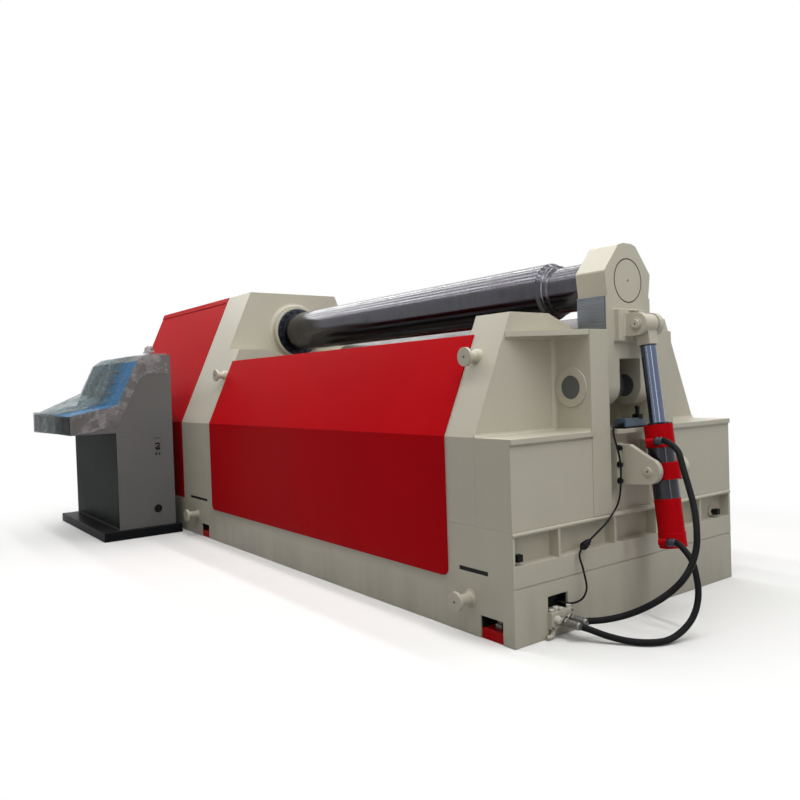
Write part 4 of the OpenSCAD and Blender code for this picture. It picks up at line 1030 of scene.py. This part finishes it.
class PLATEROLL_OT_drop_end(bpy.types.Operator):
    """Adds pin caps, post plates, the rod's wiper and collar, the journal's sleeve and the end switch's parts"""

    bl_idname = "plate_roll.drop_end"
    bl_label = "Drop end"

    def execute(self, context):
        self.add_caps("clevis_pin", (PIN_LO + PIN_HI) / 2, PIN_HI.y, 0.0187, 0.0185, "yoke")
        self.add_caps("trunnion", TRUNNION, BRACKET_OUT, 0.028, 0.0175, "frame")
        # Near-black ring in the yoke cap's groove: painted shade in the groove
        loop = [(0.0885, -0.001), (0.0925, -0.001), (0.0925, 0.0006), (0.0885, 0.0006)]
        groove = Shape().ring((YOKE_X, 0, ROLL_AXIS.z), X_AXIS, loop, 72)
        piece("yoke_cap_groove_shade", groove, "hollow", "yoke")
        posts = Shape().slabs((END_X - 0.001, SLOT_HALF + 0.0015, BASE_Z + 0.002),
                              (END_X + 0.003, CHEEK_HALF - 0.0008, SHELF_HI.z - 0.001))
        cream_piece("post_plates", posts)
        self.add_gland()
        self.add_roll_shoulder()
        self.add_switch()
        return {"FINISHED"}

    def add_caps(self, name, centre, proud, disc, r, body):
        """Round caps on both ends of a pin, each on a thin disc, with drill marks coloured near-black as painted
        shade.
        """
        caps, marks = Shape(), Shape()
        for side in SIDES:
            at, out = Vector((centre.x, side * proud, centre.z)), Vector((0, side, 0))
            caps.turned(at, out, [(disc, 0.0003), (disc, 0.0008), (r, 0.0010), (r, 0.004), (r - 0.002, 0.006)], 40)
            marks.centre_mark(at + out * 0.006, out, 0.004)
        cream_piece(name + "_caps", caps, body)
        piece(name + "_mark_shade", marks, "hollow", body)

    def add_gland(self):
        """Wiper ring and screws on the cylinder head, and collar under the rod eye."""
        top = TRUNNION + ROD_DIR * HEAD_TOP
        bore = ROD_R + 0.0014
        lip = [(bore, 0), (0.044, 0), (0.044, 0.003), (0.041, 0.006), (0.034, 0.008), (bore, 0.006)]
        piece("rod_wiper", Shape().ring(top, ROD_DIR, lip), "black_plastic", "cylinder")
        screws = Shape()
        for at in circle(top, ROD_DIR, 0.0505, 0, 8):
            screws.socket_head(at, ROD_DIR, 0.009, 0.004)
        piece("cylinder_head_screws", screws, "dark_steel", "cylinder")
        bore = ROD_R + 0.0006
        loop = [(bore, 0), (0.0335, 0), (0.0335, 0.005), (0.0325, 0.006), (bore, 0.006)]
        collar = Shape().ring(TRUNNION + ROD_DIR * EYE_FOOT, -ROD_DIR, loop)
        piece("rod_collar", collar, "dark_steel", "rod")

    def add_roll_shoulder(self):
        """Chamfered ring and sleeve on the top roll's journal, beside the yoke."""
        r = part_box("top_roll")[1].y
        at = Vector((ROLL_BODY_END, 0, ROLL_AXIS.z))
        profile = [(r * 0.99, -0.002), (r * 0.99, 0.001), (0.1185, 0.016), (0.1185, 0.024), (0.1125, 0.028),
                   (0.1125, 0.046), (0.1025, 0.052), (0.1025, 0.244), (0.100, 0.2465)]
        shape = Shape().turned(at, X_AXIS, profile, 96)
        piece("roll_shoulder", shape, "roll_steel", "top_roll")

    def add_switch(self):
        lo, hi = SWITCH_LO, SWITCH_HI
        base = Shape().slab((lo.x - 0.006, lo.y - 0.010, lo.z), (hi.x + 0.004, hi.y + 0.010, lo.z + 0.007))
        mid = Vector(((lo.x + hi.x) / 2, hi.y - 0.020, hi.z))
        base.slab(mid + Vector((-0.016, -0.014, -0.002)), mid + Vector((0.016, 0.014, 0.020)))
        base.slab(mid + Vector((-0.006, -0.007, 0.018)), mid + Vector((0.006, 0.007, 0.046)))
        roller = [(0.008, 0), (0.009, 0.001), (0.009, 0.015), (0.008, 0.016)]
        base.turned(mid + Vector((-0.008, 0, 0.046)), X_AXIS, roller)
        piece("end_switch_lever", base, "black_plastic")
        lid_t = 0.005
        lid = Shape().slab((lo.x + 0.004, lo.y + 0.004, hi.z), (hi.x - 0.004, hi.y - 0.04, hi.z + lid_t))
        piece("end_switch_lid", lid, "switch_plastic")
        screws = Shape()
        for x in (lo.x + 0.010, hi.x - 0.010):
            for y in (lo.y + 0.011, hi.y - 0.047):
                screws.socket_head((x, y, hi.z + lid_t), Z_AXIS, 0.007, 0.002)
        piece("end_switch_screws", screws, "zinc")


class PLATEROLL_OT_base_end(bpy.types.Operator):
    """Adds the flange edge, the adjusting screws and the valve's plugs and pipe at the base's end"""

    bl_idname = "plate_roll.base_end"
    bl_label = "Base end"

    def execute(self, context):
        y0, y1 = -HALF_DEPTH + 0.002, HALF_DEPTH - 0.002
        edge = [(END_X - 0.0035, y0 + (y1 - y0) * k / 24, BASE_Z - 0.0088) for k in range(25)]
        flange = Shape().tube(edge, 0.0085, 24)
        piece("base_flange_edge", flange, "frame_paint")
        self.add_adjusters()
        self.add_opening_shade()
        self.add_valve()
        return {"FINISHED"}

    def add_adjusters(self):
        """Square-headed screws in the outer pockets, each on a round boss."""
        back = END_X - 0.048
        bosses, heads = Shape(), Shape()
        for y in ADJUSTER_YS:
            bosses.turned((back - 0.001, y, ADJUSTER_Z), X_AXIS, [(0.024, 0), (0.024, 0.010), (0.0215, 0.013)])
            at = (back, y, ADJUSTER_Z)
            heads.turned(at, X_AXIS, [(0.010, 0.012), (0.010, 0.024)], 20)
            heads.turned(at, X_AXIS, [(0.0190, 0.022), (0.0190, 0.042), (0.0165, 0.045)], 4)
        cream_piece("adjuster_bosses", bosses)
        piece("adjuster_screws", heads, "black_plastic")

    def add_opening_shade(self):
        """Near-black plates that paint the shade inside the opening behind the valve block."""
        y0, y1, z0, z1 = OPENING_Y0 + GAP, OPENING_Y1 - GAP, OPENING_Z0 + GAP, OPENING_Z1 - GAP
        back, front, t = END_X - 0.120 + GAP, END_X - 0.010, SHADE_PLATE_T
        shade_plates = Shape()
        shade_plates.slab((back, y0, z0), (back + t, y1, z1))
        shade_plates.slab((back + t, y0, z1 - t), (front, y1, z1))
        for y in (y0, y1 - t):
            shade_plates.slab((back + t, y, z0), (front, y + t, z1 - t))
        shade_plates.slab((END_X - 0.0425, VALVE_LO.y + 0.019, 0.0985), (END_X - 0.0415, VALVE_HI.y - 0.019, 0.1425))
        piece("valve_opening_shade", shade_plates, "hollow")

    def add_valve(self):
        knobs, nuts = Shape(), Shape()
        for x, y, r, h in VALVE_KNOBS:
            section = [(r, 0), (r, h * 0.55), (r * 1.15, h * 0.6), (r * 1.15, h * 0.9), (r * 0.85, h)]
            knobs.turned((x, y, VALVE_TOP - 0.001), Z_AXIS, section, 20)
        plug = [(0.015, 0), (0.0155, 0.006), (0.013, 0.014), (0.007, 0.018)]
        knobs.turned((VALVE_FACE_X - 0.001, -0.531, 0.070), X_AXIS, plug, 24)
        piece("valve_plugs", knobs, "pale_plastic")
        collar = [(0.0141, 0), (0.0185, 0), (0.0185, 0.007), (0.017, 0.009), (0.0141, 0.009)]
        for route in (UPPER_ROUTE, LOWER_ROUTE):
            nuts.ring((VALVE_FACE_X, *route[-1][1:]), X_AXIS, collar, 6)
        for y, z in ((-0.5545, 0.043), (-0.4455, 0.091)):
            nuts.socket_head((VALVE_FACE_X - 0.0005, y, z), X_AXIS, 0.009, 0.005)
        piece("valve_nuts", nuts, "zinc")
        pipe = Shape().tube(smooth_route(DRAIN_ROUTE, 6), 0.0085, 18)
        pipe.turned((1.6155, -0.540, 0.0375), -Z_AXIS, [(0.012, 0), (0.012, 0.006), (0.010, 0.008)], 6)
        cream_piece("valve_drain_pipe", pipe)


class PLATEROLL_OT_covers(bpy.types.Operator):
    """Adds the folded hems of the drive cover"""

    bl_idname = "plate_roll.covers"
    bl_label = "Covers"

    def execute(self, context):
        hem, t, rim_t = context.scene.plate_roll_sizes.hem, 0.004, 0.0025
        rim_x, strip = COVER_HI.x - 0.0005, Vector((-0.018, 0, 0))
        hems = Shape()
        for side in SIDES:
            up = Vector((0, -side * LEAN_UP.y, LEAN_UP.z))
            out = Vector((0, -side * LEAN_OUT.y, LEAN_OUT.z))
            edge = Vector((COVER_LO.x + 0.002, side * lean_y(COVER_HI.z), COVER_HI.z))
            foot = edge - up * hem
            section = [foot, foot + out * t, edge - up * 0.002 + out * t, edge + out * t * 0.3, edge - out * 0.002]
            hems.prism(section, (COVER_HI.x - COVER_LO.x - 0.004, 0, 0))
            low = Vector((rim_x, side * HALF_DEPTH, KNEE_Z))
            top = Vector((rim_x, foot.y, foot.z))
            hems.prism([low, low + strip, low + strip + out * rim_t, low + out * rim_t], top - low)
        piece("drive_cover_hems", hems, "red_paint")
        return {"FINISHED"}


class PLATEROLL_OT_console(bpy.types.Operator):
    """Adds the console's controls, key switch, cable hole and the plastic film over its desk"""

    bl_idname = "plate_roll.console"
    bl_label = "Console"

    def execute(self, context):
        self.add_controls(context.scene.plate_roll_sizes.button / 2)
        self.add_front_shade_plates()
        self.add_key_and_hole()
        self.add_films()
        return {"FINISHED"}

    def add_controls(self, r):
        """Screen and push buttons of radius r under the film."""
        dark, bright = Shape(), Shape()
        front, corner, brow = (Vector((0, *p)) for p in DESK_PROFILE[1:4])
        up, run = (brow - corner).normalized(), (corner - front).normalized()
        out, lift = Vector((0, -up.z, up.y)), Vector((0, -run.z, run.y))
        x0 = DESK_LO.x

        def button(at, out):
            bright.ring(at, out, [(r * 0.8, 0), (r * 1.25, 0), (r * 1.2, 0.003), (r * 0.85, 0.0035)], 24)
            dark.turned(at, out, [(r * 0.78, 0), (r * 0.78, 0.005), (r * 0.6, 0.0065)], 20)

        def on_slope(x, along):
            return Vector((x, 0, 0)) + corner + up * along

        a, b, low, high = x0 + SCREEN_X0, x0 + SCREEN_X1, SCREEN_LOW, SCREEN_HIGH
        dark.prism([on_slope(a, low), on_slope(b, low), on_slope(b, high), on_slope(a, high)], out * 0.005)
        for row in range(3):
            for col in range(5):
                button(on_slope(x0 + BUTTON_X + BUTTON_STEP_X * col, BUTTON_UP + BUTTON_STEP_UP * row), out)
        for col in range(7):
            left = Vector((x0 + LEDGE_BUTTON_X + LEDGE_BUTTON_STEP * col, 0, 0))
            button(left + front + run * LEDGE_BUTTON_IN, lift)
        piece("desk_controls", dark, "black_plastic")
        piece("desk_button_rings", bright, "zinc")

    def add_front_shade_plates(self):
        """Dark plates on the pedestal's front and on the desk's lip, coloured near-black as painted shade on these
        front faces.
        """
        lo, hi = PEDESTAL_LO, PEDESTAL_HI
        shape = Shape().slab((lo.x + 0.012, lo.y - 0.0022, lo.z + 0.014), (hi.x - 0.0006, lo.y + 0.001, hi.z - 0.004))
        shape.slab((DESK_LO.x + 0.002, DESK_LO.y - 0.0015, DESK_LO.z + 0.003),
                   (DESK_HI.x - 0.001, DESK_LO.y + 0.001, DESK_PROFILE[1][1] - 0.003))
        piece("console_front_plates", shape, "front_shade_paint")

    def add_key_and_hole(self):
        x, mid, end = PEDESTAL_HI.x, (KEY_LO + KEY_HI) / 2, KEY_HI.x
        plate = Shape().slab((x, mid.y - 0.019, mid.z - 0.030), (x + 0.0015, mid.y + 0.019, mid.z + 0.040))
        piece("key_switch_plate", plate, "zinc")
        marks = Shape()
        for dy in (-0.012, 0.012):
            stud = (x - 0.0005, mid.y + dy, mid.z - 0.052)
            marks.turned(stud, X_AXIS, [(0.006, 0), (0.006, 0.0035), (0.004, 0.005)], 18)
        marks.slab((x, mid.y - 0.024, mid.z + 0.056), (x + 0.001, mid.y + 0.024, mid.z + 0.059))
        grommet = [(0.017, 0), (0.027, 0), (0.026, 0.004), (0.022, 0.006), (0.018, 0.003)]
        marks.ring((x, HOLE_Y, HOLE_Z), X_AXIS, grommet, 32)
        # Black disc inside the grommet: painted shade of the cable hole
        marks.turned((x - 0.0005, HOLE_Y, HOLE_Z), X_AXIS, [(0.018, 0), (0.018, 0.0012)], 32)
        piece("console_side_fittings", marks, "black_plastic")
        bezel = [(0.0092, 0), (0.0125, 0), (0.0120, 0.003), (0.0092, 0.004)]
        key = Shape().ring((end - 0.009, mid.y, mid.z), X_AXIS, bezel, 24)
        key.slab((end - 0.001, mid.y - 0.001, mid.z - 0.007), (end + 0.014, mid.y + 0.001, mid.z + 0.007))
        piece("console_key", key, "zinc")

    def desk_path(self, start, end, step):
        """Points and outward directions along the desk's front profile, between two of its corners."""
        corners = [Vector((0, *p)) for p in DESK_PROFILE[start:end + 1]]
        path = []
        for a, b in zip(corners, corners[1:]):
            n = max(2, int((b - a).length / step))
            along = (b - a).normalized()
            path += [(a.lerp(b, k / n), Vector((0, -along.z, along.y))) for k in range(n)]
        path.append((corners[-1], path[-1][1]))
        last = len(path) - 1
        outs = [sum((path[max(0, min(last, i + d))][1] for d in (-2, -1, 0, 1, 2)), Vector()).normalized()
                for i in range(len(path))]
        return [(p, o) for (p, _), o in zip(path, outs)]

    def crumple(self, p, size):
        """Wandering height of crumpled film at a point."""
        fold = noise.noise(p * 9.0 + Vector((3.1, 0, 0)))
        crease = 1 - abs(noise.noise(p * 26.0)) * 2
        return size * (0.55 * fold + 0.45 * crease)

    def add_sheet(self, name, rows, finish, lay, flat, smooth_deg=80):
        """Makes one sheet from rows of points and calls flat with its area; what flat gives is not used."""
        n = len(rows[0])
        faces = [(i * n + k, i * n + k + 1, (i + 1) * n + k + 1, (i + 1) * n + k)
                 for i in range(len(rows) - 1) for k in range(n - 1)]
        shape = Shape().add([p for row in rows for p in row], faces)
        obj = loose_piece(name, shape, finish, closed=False, smooth_deg=smooth_deg)
        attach(obj, "frame")
        flat(sum(f.area for f in obj.data.polygons))

    def add_films(self):
        x0, x1 = DESK_LO.x, DESK_HI.x
        path = self.desk_path(1, 3, 0.02)
        rows = [[Vector((x, 0, 0)) + p + out * 0.0012 for x in (x0 + 0.012, x0 + 0.4, x1 - 0.003)] for p, out in path]
        run = route_length([p for p, _ in path])
        self.add_sheet("desk_blue_film", rows, "blue_film", "laid", lambda area: (x1 - x0 - 0.015, run), 35)
        self.add_wrap(x0 - 0.003, x1 + 0.003)
        self.add_side_wrap(x1)
        self.add_knot(Vector((x1 - 0.045, DESK_PROFILE[4][0] + 0.035, DESK_HI.z)))

    def add_wrap(self, x0, x1):
        """Crumpled wrap over the desk, stretched across its inner corner more and more towards the left."""
        columns, longest = [], 0.0
        lip, edge, corner, brow, top, back = (Vector((0, *p)) for p in DESK_PROFILE)
        ledge, slope = (corner - edge).normalized(), (brow - corner).normalized()
        for k in range(WRAP_COLUMNS + 1):
            x, loose = x0 + (x1 - x0) * k / WRAP_COLUMNS, 1 - k / WRAP_COLUMNS
            ledge_reach, slope_reach = (WRAP_TIGHT + far * loose ** WRAP_CURVE for far in WRAP_REACH)
            rise = Vector((0, 0, WRAP_RISE * loose))
            marks = [lip - rise * 0.8, edge + rise, corner - ledge * ledge_reach, corner + slope * slope_reach, brow,
                     top, back]
            line = []
            for a, b, n in zip(marks, marks[1:], WRAP_STEPS):
                line += [a.lerp(b, i / n) for i in range(n)]
            line.append(back)
            column = []
            for i, p in enumerate(line):
                along = line[min(i + 2, len(line) - 1)] - line[max(i - 2, 0)]
                out = Vector((0, -along.z, along.y)).normalized()
                at = Vector((x, 0, 0)) + p
                column.append(at + out * (WRAP_LIFT + self.crumple(at, WRAP_CRUMPLE)))
            longest = max(longest, route_length(column))
            columns.append(column)
        self.add_sheet("desk_wrap", columns, "wrap", "draped", lambda area: (x1 - x0, longest))

    def add_side_wrap(self, x1):
        """Flap of the wrap that hangs over the desk's right side."""
        path = self.desk_path(1, 5, 0.009)
        rows = []
        for p, _ in path:
            hang = min(FLAP_DROP, p.z - DESK_LO.z - 0.004) + FLAP_WAVE * noise.noise(p * 21.0)
            row = []
            for k in range(FLAP_ROWS + 1):
                at = Vector((x1, p.y, p.z + FLAP_OVER - (hang + FLAP_OVER) * k / FLAP_ROWS))
                row.append(at + X_AXIS * (FLAP_LIFT + self.crumple(at + X_AXIS * 0.7, FLAP_CRUMPLE)))
            rows.append(row)
        run = route_length([p for p, _ in path])
        self.add_sheet("desk_side_wrap", rows, "side_wrap", "hung", lambda area: (run, area / run))

    def add_knot(self, at):
        """Gathered end of the wrap that stands up on the console's top."""
        rows = []
        for i in range(KNOT_ROWS + 1):
            h = i / KNOT_ROWS
            row = []
            for k in range(KNOT_SIDES + 1):
                t = math.tau * k / KNOT_SIDES
                lift = noise.noise(Vector((math.cos(t), math.sin(t), h * 1.5)) * 2.3)
                r = KNOT_R * math.cos(h * 1.15) * (1 + 0.45 * lift)
                up = 0.0095 + KNOT_TALL * h + 0.010 * lift * h
                row.append(at + Vector((r * math.cos(t), r * math.sin(t), up)))
            rows.append(row)
        self.add_sheet("desk_wrap_gather", rows, "side_wrap", "gathered",
                       lambda area: (KNOT_WIDE, KNOT_SLACK * area / KNOT_WIDE))


class PLATEROLL_PT_panel(bpy.types.Panel):
    """Lists the steps that dress the machine"""

    bl_idname = "PLATEROLL_PT_panel"
    bl_label = "Plate Roll"
    bl_space_type = "VIEW_3D"
    bl_region_type = "UI"
    bl_category = "Plate Roll"

    def draw(self, context):
        for step in STEPS:
            self.layout.operator(step.bl_idname)


STEPS = (PLATEROLL_OT_stage, PLATEROLL_OT_hoses, PLATEROLL_OT_finishes, PLATEROLL_OT_welds, PLATEROLL_OT_fasteners,
         PLATEROLL_OT_drop_end, PLATEROLL_OT_base_end, PLATEROLL_OT_covers, PLATEROLL_OT_console)
SETTINGS = {
    "plate_roll_finishes": PlateRollFinishes,
    "plate_roll_sizes": PlateRollSizes,
    "plate_roll_stage": PlateRollStage,
}


def register():
    for made in (*SETTINGS.values(), *STEPS, PLATEROLL_PT_panel):
        bpy.utils.register_class(made)
    for name, made in SETTINGS.items():
        setattr(bpy.types.Scene, name, PointerProperty(type=made))


def unregister():
    for name in SETTINGS:
        delattr(bpy.types.Scene, name)
    for made in reversed((*SETTINGS.values(), *STEPS, PLATEROLL_PT_panel)):
        bpy.utils.unregister_class(made)


def main():
    register()
    for step in STEPS:
        group, name = step.bl_idname.split(".")
        getattr(getattr(bpy.ops, group), name)()


if __name__ == "__main__":
    main()
